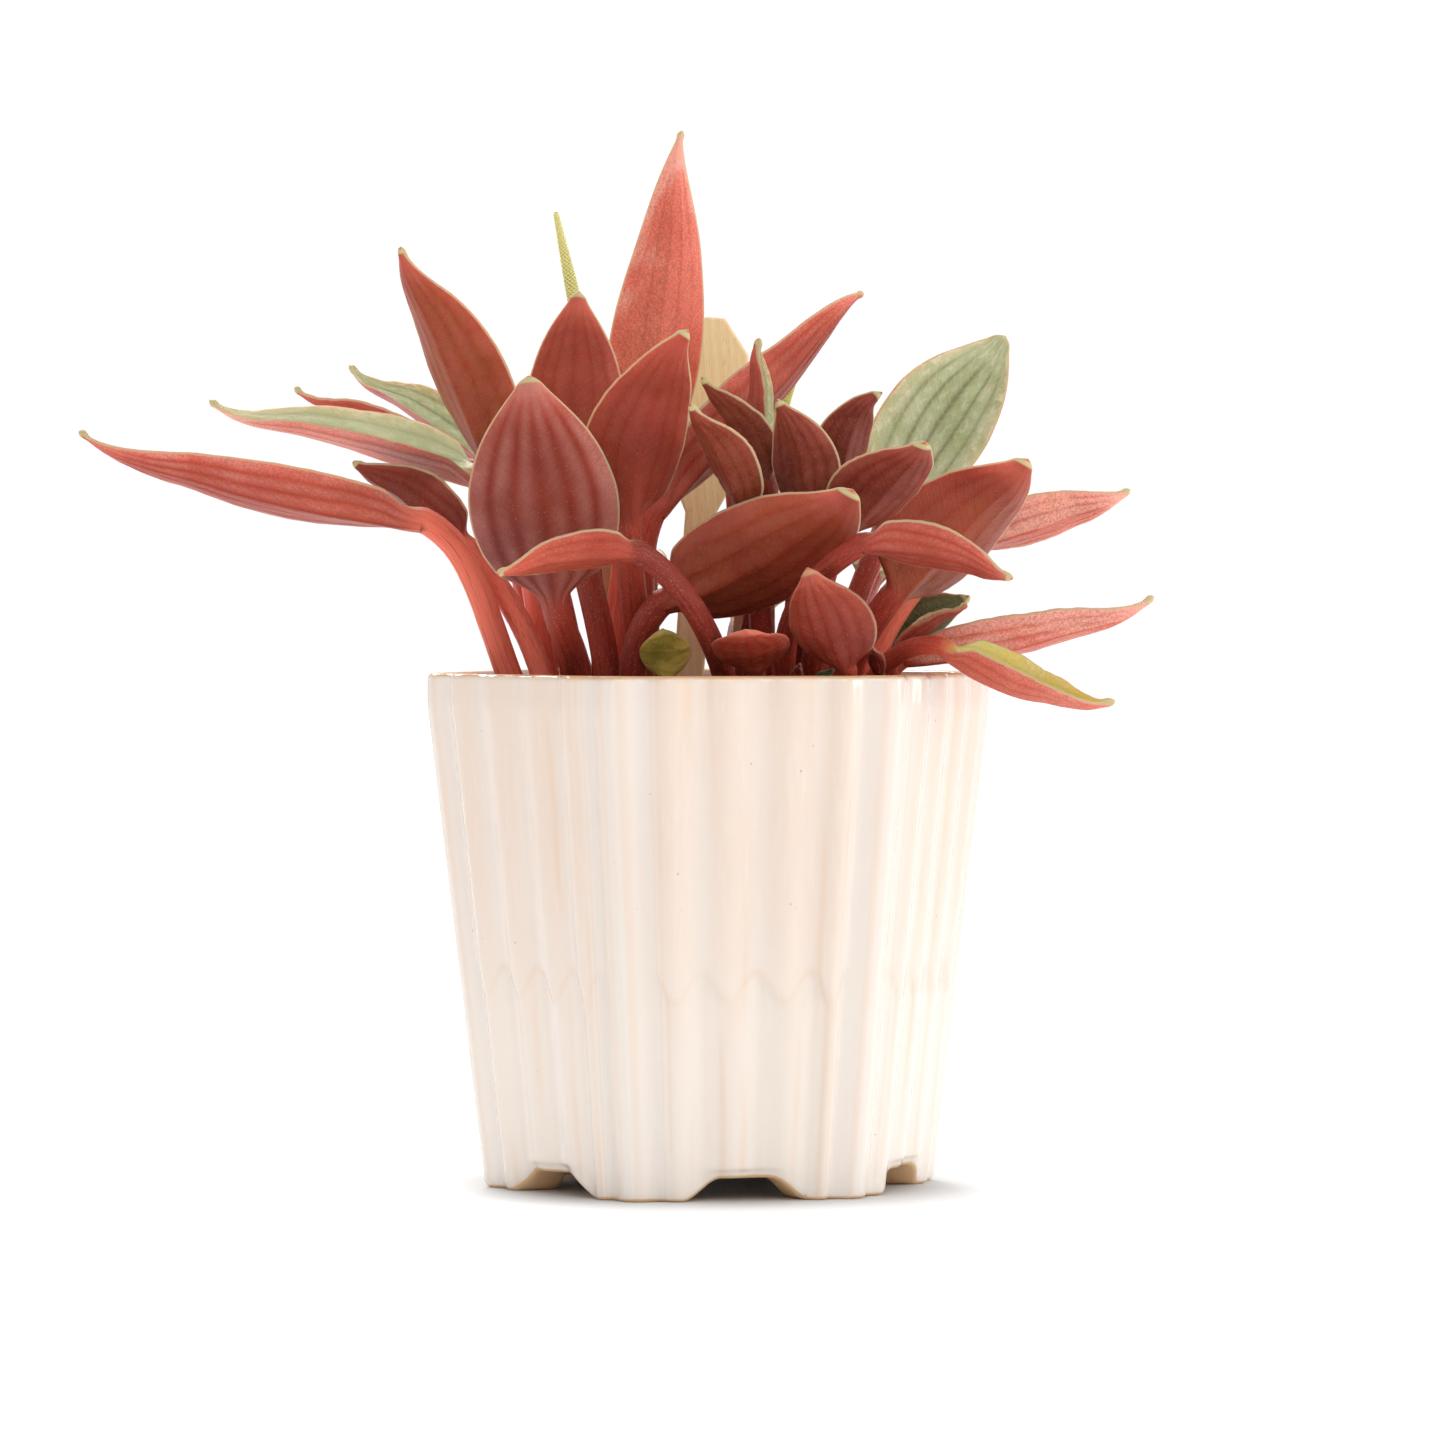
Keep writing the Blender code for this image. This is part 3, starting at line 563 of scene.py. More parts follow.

# Where the stalk leaves the crown, the neck, the tip (mm from the pot's axis), the full width and the way
# the green side faces. belly is the widest place, blunt and point shape the two ends, and fold and cup
# are degrees. lean, rise, entry and hook bend the stalk. arch and sway bow the blade, curl bends the tip
# towards the green side, and turn bends it sideways. glow is painted light, the backlight shining through
# the leaf: high values light up both sides, low ones paint them in shade. warm adds gold to the red side,
# sheen is painted sheen in pale bands between its veins, lime yellows the green side, stem is painted
# light and shade on the stalk and edge is how pale the margin is.
leaves = {
    "leaf_far_left": dict(
        root=(-36, -2), neck=(-55, -6, 127.5), tip=(-120.5, -8, 144.5), width=15.5, top=(0, 0.72, 0.7), fold=26,
        arch=-0.16, belly=0.36, blunt=0.7, lean=(-0.45, 0, 1), entry=0.6, stalk=2.5, point=1.0, glow=0.78,
        sheen=0.8, stem=1.2, ripple=0.5),
    "leaf_left_green": dict(
        root=(-31, 5), neck=(-44, 14, 136), tip=(-97.5, 18, 151), width=22, top=(0, -0.18, 1), fold=34,
        arch=-0.06, blunt=0.75, point=1.0, glow=1.35, sheen=1.0),
    "leaf_left_upper_rear": dict(
        root=(-25.5, 11), neck=(-42, 36, 138), tip=(-72.5, 60, 159), width=17, top=(0.3, -0.5, 1), fold=36,
        arch=-0.05, blunt=0.75, point=0.95, glow=0.7, lime=0.1),
    "leaf_left_rear": dict(
        root=(-31.5, 12), neck=(-46.5, 25, 137), tip=(-82, 37, 154), width=13, top=(0, 0.3, 1), fold=28,
        point=0.95, glow=0.7),
    "leaf_left_inner": dict(
        root=(-30.5, -4), neck=(-47, 4, 122.5), tip=(-69, 9, 139), width=16, top=(0.4, 0.6, 0.7), stalk=2.2,
        glow=0.3, stem=1.1),
    "leaf_upper_left": dict(
        root=(-25, -1), neck=(-40.5, -12, 136.5), tip=(-58.5, -22, 179), width=21, top=(0.5, 0.8, 0.3), fold=32,
        sway=0.03, blunt=0.66, point=0.95, glow=0.44, warm=1.0),
    "leaf_front_left": dict(
        root=(-24, -15), neck=(-29, -38, 112), tip=(-33.5, -50, 154), width=29, top=(0.05, 1, 0.15), fold=14,
        cup=35, arch=-0.12, belly=0.42, point=0.74, glow=0.36, sheen=1.0),
    "leaf_front_small_left": dict(
        root=(4, -17), neck=(-13.5, -58, 121.5), tip=(-39, -66, 117.5), width=10.5, top=(0, 0.8, 0.6), fold=25,
        arch=0.04, lean=(-0.1, -1.3, 0.7), rise=0.4, entry=0.35, stalk=2.2, glow=0.66, sheen=0.2, stem=0.22),
    "leaf_front_centre": dict(
        root=(-15, -15), neck=(-9, -24, 112), tip=(26.5, -44, 133), width=25.5, top=(-0.3, 0.9, 0.45), fold=16,
        cup=30, sway=-0.17, belly=0.42, blunt=0.5, lean=(0, -0.3, 1), point=0.62, glow=0.46, warm=0.8,
        sheen=0.3, stem=0.32),
    "leaf_upper_centre_left": dict(
        root=(-19, -7), neck=(-26.5, -13, 133), tip=(-25, -12, 171), width=22, top=(0.1, 1, 0.2), fold=26,
        sway=0.02, point=0.78, glow=0.42, sheen=0.25),
    "leaf_upper_centre": dict(
        root=(-13, -6), neck=(-15.5, -31.5, 126.5), tip=(-4, -46, 162.5), width=21, top=(-0.35, 0.9, 0.25),
        fold=16, sway=0.13, point=0.76, turn=-0.03, glow=0.5, sheen=0.2),
    "leaf_tallest": dict(
        root=(-19, 2), neck=(-13.5, 4, 138.5), tip=(-5.5, 4, 202.5), width=20.5, top=(-0.1, 1, 0.1), fold=28,
        belly=0.34, blunt=0.78, sway=-0.02, point=0.96, turn=-0.02, glow=0.92, sheen=0.08),
    "leaf_long_right": dict(
        root=(-12, 2), neck=(-11, -8, 129), tip=(29.5, 14, 171.5), width=18, top=(-0.35, 0.7, 0.6), fold=24,
        sway=0.03, arch=-0.06, blunt=0.8, point=0.95, turn=-0.09, glow=0.62, sheen=0.5),
    "leaf_narrow_upright": dict(
        root=(11, 0), neck=(4.8, -6.8, 137), tip=(9.5, -12, 162), width=13, top=(1, -0.25, 0.05), fold=46,
        blunt=0.75, stalk=2.0, point=0.95, glow=0.5),
    "leaf_dark_edge": dict(
        root=(6, -3), neck=(10.5, -16, 134.5), tip=(-1.5, -22, 154.5), width=13, top=(0.6, 0.6, 0.5), fold=36,
        stalk=2.1, point=0.95, glow=0.22, warm=0.6),
    "leaf_inner_left": dict(
        root=(10, -7), neck=(7, -29.5, 128.5), tip=(-3.7, -46, 149), width=12.5, top=(0.5, 0.8, 0.4), fold=26,
        sway=-0.03, belly=0.44, stalk=2.1, point=0.95, glow=0.34, warm=0.7),
    "leaf_inner_right": dict(
        root=(15, -5), neck=(18, -24, 128), tip=(12.5, -30, 150), width=14.5, top=(0.2, 1, 0.3), fold=26,
        sway=-0.15, stalk=2.2, point=0.9, glow=0.27, warm=0.4),
    "leaf_hooked_right": dict(
        root=(17, 1), neck=(25.5, 0, 133.5), tip=(33, 0, 152), width=13, top=(-0.1, 0.9, 0.4), fold=34,
        sway=0.28, stalk=2.0, turn=-0.05, glow=0.2),
    "leaf_right_centre": dict(
        root=(20, -9), neck=(24.5, -27.5, 125.5), tip=(40, -40, 142), width=19, top=(-0.4, 0.8, 0.5), fold=20,
        sway=-0.1, blunt=0.52, stalk=2.4, point=0.7, glow=0.42, sheen=0.5),
    "leaf_right_green": dict(
        root=(23, 8), neck=(34, 14, 127), tip=(58, 34, 164), width=22.5, top=(-0.1, -1, 0.35), fold=10,
        sway=-0.08, belly=0.46, stalk=2.2, point=0.7, glow=0.5, edge=0.6),
    "leaf_right_broad": dict(
        root=(24.5, -3.5), neck=(34.5, -14, 113), tip=(60, -22, 139), width=27, top=(-0.4, 0.75, 0.5), fold=18,
        sway=-0.05, blunt=0.54, point=0.66, glow=0.5, warm=1.0, sheen=0.2),
    "leaf_far_right": dict(
        root=(28, 2), neck=(49, 6, 123), tip=(81, 8, 133.5), width=13, top=(-0.1, 0.75, 0.6), fold=25,
        arch=-0.12, blunt=0.7, stalk=2.2, point=0.9, glow=1.3, sheen=0.9),
    "leaf_front_small_right": dict(
        root=(15, -13), neck=(28.5, -46, 123), tip=(56, -52, 116.5), width=12, top=(0.1, 0.75, 0.65), fold=25,
        arch=0.08, lean=(-0.2, -0.6, 1), entry=0.4, stalk=2.1, point=0.9, glow=0.68, sheen=0.5, stem=0.42),
    "leaf_low_right": dict(
        root=(31, -4), neck=(37, -6, 101.5), tip=(84.5, -10, 113), width=14, top=(-0.05, 0.6, 0.75), fold=25,
        arch=-0.17, blunt=0.75, stalk=2.2, point=0.9, glow=1.25, sheen=0.9),
    "leaf_front_young": dict(
        root=(21, -16), neck=(25.5, -38, 99.5), tip=(18, -46, 118.5), width=17.5, top=(0.2, 1, 0.3), fold=14,
        cup=40, arch=-0.1, belly=0.42, stalk=1.9, point=0.88, ripple=0.5, glow=0.5, sheen=0.35, edge=0.45),
    "leaf_over_rim": dict(
        root=(28, -11), neck=(44, -28, 103.5), tip=(76, -32, 93.5), width=16.5, top=(0.35, -0.28, 0.88),
        fold=46, arch=-0.28, lean=(0.5, -0.3, 1), stalk=1.8, glow=1.15, warm=0.2, sheen=0.5, lime=1.0,
        stem=0.7),
    "leaf_low_green": dict(
        root=(33, 8), neck=(34.5, 9.5, 101.5), tip=(50, 6.5, 113), width=15, top=(-0.3, -0.75, 0.6), fold=30,
        stalk=1.6, glow=0.3),
    "leaf_low_red": dict(
        root=(35, -8.5), neck=(35, -11.5, 101.8), tip=(48.5, -16.5, 111.7), width=7, top=(-0.5, -0.1, 0.85),
        fold=52, blunt=0.75, stalk=1.2, point=0.95, glow=0.4, edge=0.3),
    "leaf_ball_young": dict(
        root=(9, -20), neck=(8.5, -34, 99), tip=(6.5, -46, 107), width=15, top=(0, 1, 1), fold=10, cup=32,
        belly=0.5, blunt=0.5, stalk=1.7, ripple=0.4, wave=0.2, glow=0.6, sheen=0.25, edge=0.08),
    "leaf_low_golden": dict(
        root=(-7, -14), neck=(-8, -21, 97.5), tip=(-9, -25, 107), width=10, top=(0, 1, 0.3), fold=10, cup=40,
        belly=0.5, stalk=1.4, ripple=0.4, wave=0.2, glow=0.3, lime=2.0, edge=0.2),
    "bud_right": dict(
        root=(27, -18), neck=(32, -26, 98), tip=(30.5, -32, 103.5), width=3.6, top=(0, 1, 0.3), fold=20, cup=40,
        belly=0.5, stalk=1.1, glow=0.3, edge=0.2),
    "leaf_rear_left_low": dict(
        root=(-24, 17.5), neck=(-35.5, 32, 119), tip=(-42.5, 66, 125), width=17, top=(0, -0.3, 1), fold=22),
    "leaf_rear_left": dict(
        root=(-20, 12), neck=(-24, 26, 131), tip=(-27, 64, 152), width=14, top=(0, -0.7, 0.8), fold=20),
    "leaf_rear_centre": dict(
        root=(-12, 9), neck=(-13.5, 20, 130), tip=(-13.5, 62, 153), width=12, top=(0, -0.7, 0.8), fold=20),
    "leaf_rear_centre_low": dict(
        root=(-13, 15.5), neck=(-15, 30, 112), tip=(-15, 66.5, 124), width=14, top=(0, -0.5, 1), fold=22),
    "leaf_rear_right_inner": dict(
        root=(10, 9), neck=(10.5, 24, 120), tip=(18, 67, 131), width=18, top=(0, -0.4, 1), fold=22),
    "leaf_rear_right": dict(
        root=(17, 8), neck=(20, 24, 126), tip=(29, 63, 141), width=17, top=(0, -0.5, 1), fold=22),
    "leaf_rear_right_outer": dict(
        root=(24, 15), neck=(31, 32, 116), tip=(43, 62, 127), width=16, top=(0, -0.4, 1), fold=22),
    "leaf_rear_low": dict(
        root=(4, 12), neck=(6, 30, 108), tip=(13, 66, 113), width=14, top=(0, -0.1, 1), fold=22, stalk=2.1),
    "sprout_left": dict(
        root=(14, -19), neck=(15.2, -23.5, 95.5), tip=(17, -25.5, 100.5), width=3.2, top=(0.3, 1, 0.3),
        stalk=0.9, glow=0.2, edge=0.3),
    "sprout_right": dict(
        root=(18, -20), neck=(19.5, -25, 96), tip=(23.5, -26, 99.5), width=3.0, top=(0.1, -1, 0.6),
        stalk=0.9, glow=0.2, edge=0.3),
}


def square(vector, way):
    # the vector turned square to a way, with length 1
    return unit(vector - way * (vector @ way))


def leafLine(leaf):
    root = np.array([*leaf["root"], skin["foot"]])
    neck, tip, top = (np.array(leaf[name], float) for name in ("neck", "tip", "top"))
    length = np.linalg.norm(tip - neck)
    along = (tip - neck) / length
    top = square(top, along)
    side = np.cross(along, top)
    bow = (neck + tip) / 2 + (top * leaf["arch"] + side * leaf["sway"]) * length
    t = np.linspace(0, 1, skin["bladeSteps"] + 1)
    t = (t * 0.35 + (1 - np.cos(t * pi)) / 2 * 0.65)[:, None]     # closer together at both ends
    blade = (1 - t) ** 2 * neck + 2 * t * (1 - t) * bow + t**2 * tip
    late = np.clip((t - 0.6) / 0.4, 0, 1)
    bend = top * leaf["curl"] + side * leaf["turn"]
    blade = blade - bend * length * 4 * late**2 * (1 - late)
    reach = neck - root
    span = np.linalg.norm(reach)
    lean = np.array(leaf.get("lean", reach * (skin["lean"], skin["lean"], 1.0)), float)
    into = unit(unit(bow - neck) * leaf["entry"] + unit(reach) * (1 - leaf["entry"]))
    first = root + unit(lean) * span * leaf["rise"]
    second = neck - into * span * leaf["hook"]
    s = np.linspace(0, 1, skin["stalkSteps"] + 1)[:, None]
    stalk = (1 - s) ** 3 * root + 3 * s * (1 - s) ** 2 * first + 3 * s**2 * (1 - s) * second + s**3 * neck
    line = np.concatenate([stalk[:1], stalk[:-1], blade])         # the foot twice, so that it closes flat
    share = np.concatenate([[-span / length], (s[:-1, 0] - 1) * span / length, t[:, 0]])
    return line, share, top


def leafGuide(name, leaf):
    line, share, top = leafLine(leaf)
    along = np.gradient(line[1:], axis=0)
    along /= np.linalg.norm(along, axis=1)[:, None]
    along = np.concatenate([along[:1], along])
    up = np.zeros_like(line)
    neck = skin["stalkSteps"] + 1
    up[neck] = square(top, along[neck])
    for i in range(neck + 1, len(line)):
        up[i] = square(up[i - 1], along[i])
    for i in range(neck - 1, -1, -1):
        up[i] = square(up[i + 1], along[i])
    belly, blunt = leaf["belly"], leaf["blunt"]
    late = np.clip((share - belly + 0.1) / 0.3, 0, 1)
    power = blunt + (leaf["point"] - blunt) * late**2 * (3 - 2 * late)
    full = np.sin(pi * np.clip(share, 0, 1) ** (np.log(0.5) / np.log(belly))) ** power
    length = np.linalg.norm(np.diff(line[neck:], axis=0), axis=1).sum()
    knob = skin["knob"] * min(1.0, leaf["width"] / 12)
    fromTip = (1 - share) * length
    bulge = np.exp(-((fromTip - knob) / knob) ** 2)
    half = np.maximum(knob * 0.55, leaf["width"] / 2 * full) + knob * 0.35 * bulge
    size = np.sqrt(np.clip(1 - np.clip(1 - fromTip / knob, 0, 1) ** 2, 0, 1))
    size[0] = 0.0
    line[:, 0] += potAxisX
    return guideMesh(name, line, {
        "side": np.cross(along, up), "up": up, "share": share, "half": half, "size": size, "knob": bulge})


def leafTree(material):
    start, given = newTree("leaf_skin", ("Rows", "Around"), (
        "Fold", "Cup", "Stalk", "Thickness", "Ripple", "Wave", "Seed", *looks))
    grid, column, sample = guideGrid(start, given, given["Around"])
    centre = sample(start.add("GeometryNodeInputPosition"), "FLOAT_VECTOR")
    side, up = sample("side", "FLOAT_VECTOR"), sample("up", "FLOAT_VECTOR")
    share, half, size, knob = map(sample, ("share", "half", "size", "knob"))
    turn = column / given["Around"] * (2 * pi)
    roundX, roundZ = -turn.cos(), turn.sin()
    straight = 1 - abs(turn * (2 / pi) - 2.0)
    across = roundX * 0.35 + straight * 0.65       # -1 and 1 at the margins, on both sides of the blade
    soft = (across * across + 0.003).sqrt()
    angle = given["Fold"] + given["Cup"] * (soft - 1.0) / 2.0
    veins = abs(across).bells(*skin["grooves"])
    body = share.ease(0.03, 0.2) * (1 - share.ease(0.8, 1.0))
    quilt = start.join(share * 17.0, across * 5.0, given["Seed"]).noise(1.0) - 0.5
    sag = start.join(share * 3.0, across * 0.8, given["Seed"] + 9.0).noise(1.0, 1.0) - 0.5
    flutter = start.join(share * 5.0, across * 0.35, given["Seed"] + 4.0).noise(1.0, 1.0) - 0.5
    sink = veins * given["Ripple"] * (half / 9.0).least(1.0)
    swell = roundZ * (abs(roundZ) + 0.01) ** -0.5   # blunt margins, even thickness
    upper = roundZ.ease(-0.15, 0.15)
    thick = given["Thickness"] * (1 - share * 0.3) + knob * 0.7
    rib = (across * half).bell(0.0, skin["ribWidth"]) * (1 - share).least(1.0) ** 3.0
    bladeX = across * angle.cos() * half
    bladeZ = (
        soft * angle.sin() * half + swell * thick / 2.0 - rib * given["Stalk"] * (1 - upper)
        + (quilt * 0.65 * (1 - veins.least(1.0) * 0.7) - sink) * body + sag * 1.1 * body
        + flutter * abs(across) ** 3.0 * given["Wave"] * 2.0 * body)
    stalk = given["Stalk"] * (1.0 + (turn * 9.0).cos() * 0.012 + quilt * 0.10)
    become = share.ease(0.0, 0.13)                 # a round stalk below, the flat blade above
    x = become.blend(roundX * stalk, bladeX) * size * mm
    z = become.blend(roundZ * stalk, bladeZ) * size * mm
    place = centre.vector("ADD", side.scaled(x)).vector("ADD", up.scaled(z))
    shape = grid.moved("Position", place).store("FLOAT2", "CORNER", UVMap=grid.other("UV Map")).store(
        share=share, across=abs(across), margin=(1 - abs(across)) * half, upper=roundZ, knob=knob,
        **{look.lower(): given[look] for look in looks})
    shape = start.add("GeometryNodeMergeByDistance", None, {"Geometry": shape, "Distance": 0.000002})
    return shape.finish(material)


def leafMaterial():
    material, place, sockets = newMaterial(
        "peperomia_leaf", Subsurface_Weight=0.45, Subsurface_Radius=(1.0, 0.24, 0.12),
        Subsurface_Scale=0.001, Specular_IOR_Level=0.2, Coat_Roughness=0.3)
    share, across, margin, upper, knob = map(place.kept, ("share", "across", "margin", "upper", "knob"))
    glow, warm, sheen, lime, stemGlow, edge = (place.kept(look.lower()) for look in looks)
    cells = place.noise(2400.0, 2.0, 0.7)
    dapple = place.noise(620.0, 2.0, 0.6)
    patches = place.noise(130.0, 3.0)
    wide = place.noise(38.0)
    drift = place.join(share * 1.7, across * 0.6, glow * 40.0 + upper * 0.3).noise(1.0, 1.0)
    some = place.join(share * 3.0, across * 4.0, glow * 30.0).noise(1.0, 1.0).ease(0.36, 0.60)
    bent = across + ((patches - 0.5) * 0.06 + (drift - 0.5) * 0.24 * across.ease(0.0, 0.2))
    lines = bent.bells(*skin["lines"]).least(1.0) * (1 - share.ease(0.72, 0.93))
    broad = bent.bells(*skin["bands"]).least(1.0) * (1 - share.ease(0.78, 0.97))
    # fine side veins that leave the midrib towards the tip
    lattice = place.join(share - across * 0.22, 0.0, glow).waves(7.0, 7.0, 2.0, 1.5).ease(0.75, 1.0)

    # red side, with painted light: lighter where it faces up, towards the tip and with the leaf's glow; darker
    # where it faces down, near the base and where glow is low
    skyward = place.add("ShaderNodeNewGeometry", out="Normal").part("Z").ease(-0.9, 0.7)
    light = glow + (patches - 0.5) * 0.24 + (wide - 0.5) * 0.36 + (share - 0.4) * 0.28
    light = light * (skyward * 0.55 + 0.68)
    # the pale pink between the veins is painted sheen, brighter where the painted light is
    pink = (light * 0.85).colour((0.24, 0.055, 0.042), (0.92, 0.48, 0.40))
    dark = (light * 0.7).colour((0.055, 0.004, 0.004), (0.56, 0.055, 0.035))
    veins = (lines * (sheen * 0.25 + 0.22) + broad * sheen * 0.22) * share.ease(0.0, 0.1)
    gold = (cells.ease(0.3, 0.7) * 0.6 + dapple.ease(0.3, 0.7) * 0.4) * warm
    gold = gold * (1 - share.ease(0.8, 1.0)) * wide.ease(0.25, 0.65)
    red = layers(
        (light * 0.97).ramp(
            (0.0, (0.070, 0.006, 0.004)), (0.25, (0.20, 0.017, 0.008)), (0.5, (0.40, 0.043, 0.020)),
            (0.75, (0.66, 0.11, 0.065)), (0.92, (0.80, 0.20, 0.135)), (1.0, (0.89, 0.40, 0.31))),
        ((1 - broad) * sheen * (patches.ease(0.3, 0.7) * 0.35 + 0.3), pink),
        (veins * (some * 0.75 + 0.25), dark),
        (lattice * 0.08, dark),
        (gold * 0.5, (0.44, 0.15, 0.03)),
        (cells.ease(0.38, 0.68) * 0.36 * (1 - share.ease(0.8, 0.95) * 0.6), (0.05, 0.005, 0.004)),
        (cells.ease(0.56, 0.72) * 0.30, (0.70, 0.22, 0.15)),
        (lime.ease(1.5, 2.0), patches.ease(0.35, 0.65).colour((0.27, 0.20, 0.03), (0.52, 0.36, 0.08))))

    # green side, with painted light from glow: paler green where the leaf is backlit, dark green painted shade
    # where glow is low
    yellow = lime.least(1.0)
    silver = place.join(share * 26.0, across * 8.0, glow).noise(1.0, 3.0).ease(0.42, 0.72)
    green = layers(
        yellow.colour((0.40, 0.43, 0.20), (0.66, 0.56, 0.10)),
        (patches.ease(0.3, 0.7) * (1 - yellow * 0.7), (0.54, 0.56, 0.33)),
        (silver * (1 - broad) * 0.7 * (1 - yellow * 0.6), (0.74, 0.73, 0.55)),
        ((lines * 0.6 + broad * 0.25) * (1 - yellow * 0.6), (0.22, 0.20, 0.10)),
        (lattice * 0.14, (0.60, 0.60, 0.42)),
        (glow.ease(0.6, 1.3) * 0.4 * (1 - yellow), (0.72, 0.77, 0.48)),
        (1 - glow.ease(0.26, 0.39), (0.08, 0.12, 0.05)))
    faces = upper.ease(-0.04, 0.10)

    # pale margin and tip
    rim = (1 - (margin + (patches - 0.5) * 0.2).ease(0.22, 0.50)) * share.ease(0.02, 0.12)
    rim = (rim * 0.85).most(knob.ease(0.66, 0.96) * share.ease(0.8, 0.9)) * edge
    pale = share.ease(0.85, 1.0).colour((0.52, 0.44, 0.27), (0.54, 0.48, 0.24))

    # stalk: long fibres and pale dots; its brightness, set by stem, is painted light and shade
    around = place.add("ShaderNodeTexCoord", out="UV").part("Y")
    fibres = place.join(around * 44.0, share * 5.0, glow).noise(1.0, 3.0, 0.65)
    stem = layers(
        ((stemGlow + (wide - 0.5) * 0.3) * 0.8 + 0.1 + (fibres - 0.5) * 0.9).ramp(
            (0.0, (0.08, 0.010, 0.007)), (0.4, (0.32, 0.040, 0.024)), (0.75, (0.66, 0.10, 0.06)),
            (1.0, (0.88, 0.20, 0.13))),
        ((1 - place.spots(1500.0).ease(0.12, 0.30)) * 0.4, (0.62, 0.27, 0.17)),
        (fibres.ease(0.54, 0.68) * 0.5, (0.09, 0.012, 0.008)))
    colour = layers(red, (faces, green), (rim, pale), (1 - share.ease(-0.02, 0.09), stem))
    calm = 1 - share.ease(0.76, 0.92) * 0.9
    relief = calm * (
        cells * 0.8 + dapple * 0.7 + patches * 0.8 - lines * 0.8 * upper
        + lattice * 0.3 * (1 - share.ease(0.7, 0.9)) + silver * faces * 1.6
        + fibres * (1 - share.ease(-0.02, 0.06)) * 1.2)
    dress(sockets, colour, cells * 0.16 + patches * 0.12 + 0.30 + rim * 0.1, relief, 0.5, 0.00022)
    ((1 - rim) * 0.05).feed(sockets["Coat Weight"])
    return material


def buildLeaf(name, row, tree, seed):
    leaf = {**usual, "stem": row.get("glow", usual["glow"]), **row}
    guide = leafGuide(name, leaf)
    made = runTree(name + "_grown", guide, tree, {
        "Rows": len(guide.vertices), "Around": skin["around"], "Seed": seed,
        "Fold": radians(leaf["fold"]), "Cup": radians(leaf["cup"]), "Stalk": leaf["stalk"],
        "Thickness": skin["thickness"], "Ripple": skin["ripple"] * leaf["ripple"],
        "Wave": skin["wave"] * leaf["wave"], **{look: leaf[look.lower()] for look in looks}})
    turnOutwards(made.data)
    return made


leafSkin = leafTree(leafMaterial())
for number, (leafName, leafRow) in enumerate(leaves.items()):
    leafObject = buildLeaf(leafName, leafRow, leafSkin, number * 3.7)
    settle(leafObject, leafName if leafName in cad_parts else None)
print("leaves:", len(leaves))


# Soil: a lumpy top inside the pot, with crumbs of peat scattered on it

soil = dict(
    top=88.0, bottom=9.9, gap=0.35, rings=46, around=144, lump=1.1, crumbs=1500, crumbSize=0.75,
    crumbsAbove=85.5, crumbField=42.0)


def innerWall(turn, z):
    # distance from the axis to the inside of the pot in a direction
    sector = (turn - radians(pot["firstCorner"])) % (pi / 3) - pi / 6
    fill = pot["cornerFill"] * np.exp(-((pi / 6 - abs(sector)) / pot["fillTurn"]) ** 2)
    return potInnerRadius(z) * cos(pi / 6) / cos(sector) - fill


def soilMesh():
    shape = bmesh.new()
    rings = []
    top = [(soil["top"], k / soil["rings"]) for k in range(soil["rings"], 0, -1)]
    for level, share in [(soil["bottom"], 1.0), *top]:
        points = []
        for i in range(soil["around"]):
            turn = 2 * pi * i / soil["around"]
            reach = (innerWall(turn, level) - soil["gap"]) * share
            points.append(shape.verts.new(
                ((reach * sin(turn) + potAxisX) * mm, -reach * cos(turn) * mm, level * mm)))
        rings.append(points)
    for lower, upper in zip(rings, rings[1:]):
        band(shape, lower, upper)
    shape.faces.new(rings[0])
    middle = shape.verts.new((potAxisX * mm, 0.0, soil["top"] * mm))
    for i in range(soil["around"]):
        shape.faces.new((rings[-1][i - 1], rings[-1][i], middle))
    bmesh.ops.recalc_face_normals(shape, faces=shape.faces)
    return meshFrom(shape, "soil_block")


def soilTree(material):
    start, given = newTree("peat_surface", ("Crumbs", "Seed"), ("Lump", "Crumb Size"))
    place = start.add("GeometryNodeInputPosition")
    height = place.part("Z")
    lumps = (place.noise(130.0, 4.0, 0.65) - 0.55) * given["Lump"] * height.ease(0.080, 0.0875)
    block = given["Geometry"].moved("Offset", start.join(0.0, 0.0, lumps * 2.0 * mm))
    field = pi * (soil["crumbField"] * mm) ** 2
    points = start.add("GeometryNodeDistributePointsOnFaces", None, {
        "Mesh": block, "Density": given["Crumbs"] / field, "Seed": given["Seed"],
        "Selection": start.math("GREATER_THAN", height, soil["crumbsAbove"] * mm)})

    def chance(seed, low, high):
        # a random number or vector for each crumb
        kind, first = ("FLOAT", 2) if isinstance(low, float) else ("FLOAT_VECTOR", 0)
        sockets = {first: low, first + 1: high, "Seed": seed}
        return start.add("FunctionNodeRandomValue", {"data_type": kind}, sockets, first // 2)

    crumb = start.add("GeometryNodeMeshIcoSphere", None, {"Radius": 1.0, "Subdivisions": 1})
    size = chance(5, 0.35, 1.35) * given["Crumb Size"] * mm
    turn = chance(8, (0.0, 0.0, 0.0), (6.3, 6.3, 6.3))
    flat = chance(3, (0.5, 0.6, 0.4), (1.4, 1.1, 0.9))
    spread = start.add("GeometryNodeInstanceOnPoints", None, {
        "Points": points, "Instance": crumb, "Scale": flat.scaled(size),
        "Rotation": start.add("FunctionNodeEulerToRotation", None, {0: turn})})
    return block.together(spread).finish(material)


def peatMaterial():
    material, place, sockets = newMaterial("moist_peat")
    grains, lumps = place.noise(900.0, 3.0, 0.7), place.noise(120.0)
    fibres = place.mapped((1.0, 0.12, 1.0), (0.4, 0.2, 0.7)).noise(1400.0)
    colour = layers(
        grains.ease(0.3, 0.7).colour((0.018, 0.011, 0.007), (0.075, 0.045, 0.026)),
        (lumps.ease(0.4, 0.65) * 0.5, (0.10, 0.062, 0.036)),
        (fibres.ease(0.66, 0.74) * 0.55, (0.22, 0.13, 0.07)))
    dress(sockets, colour, grains * 0.25 + 0.72, grains + lumps, 0.8, 0.0006)
    return material


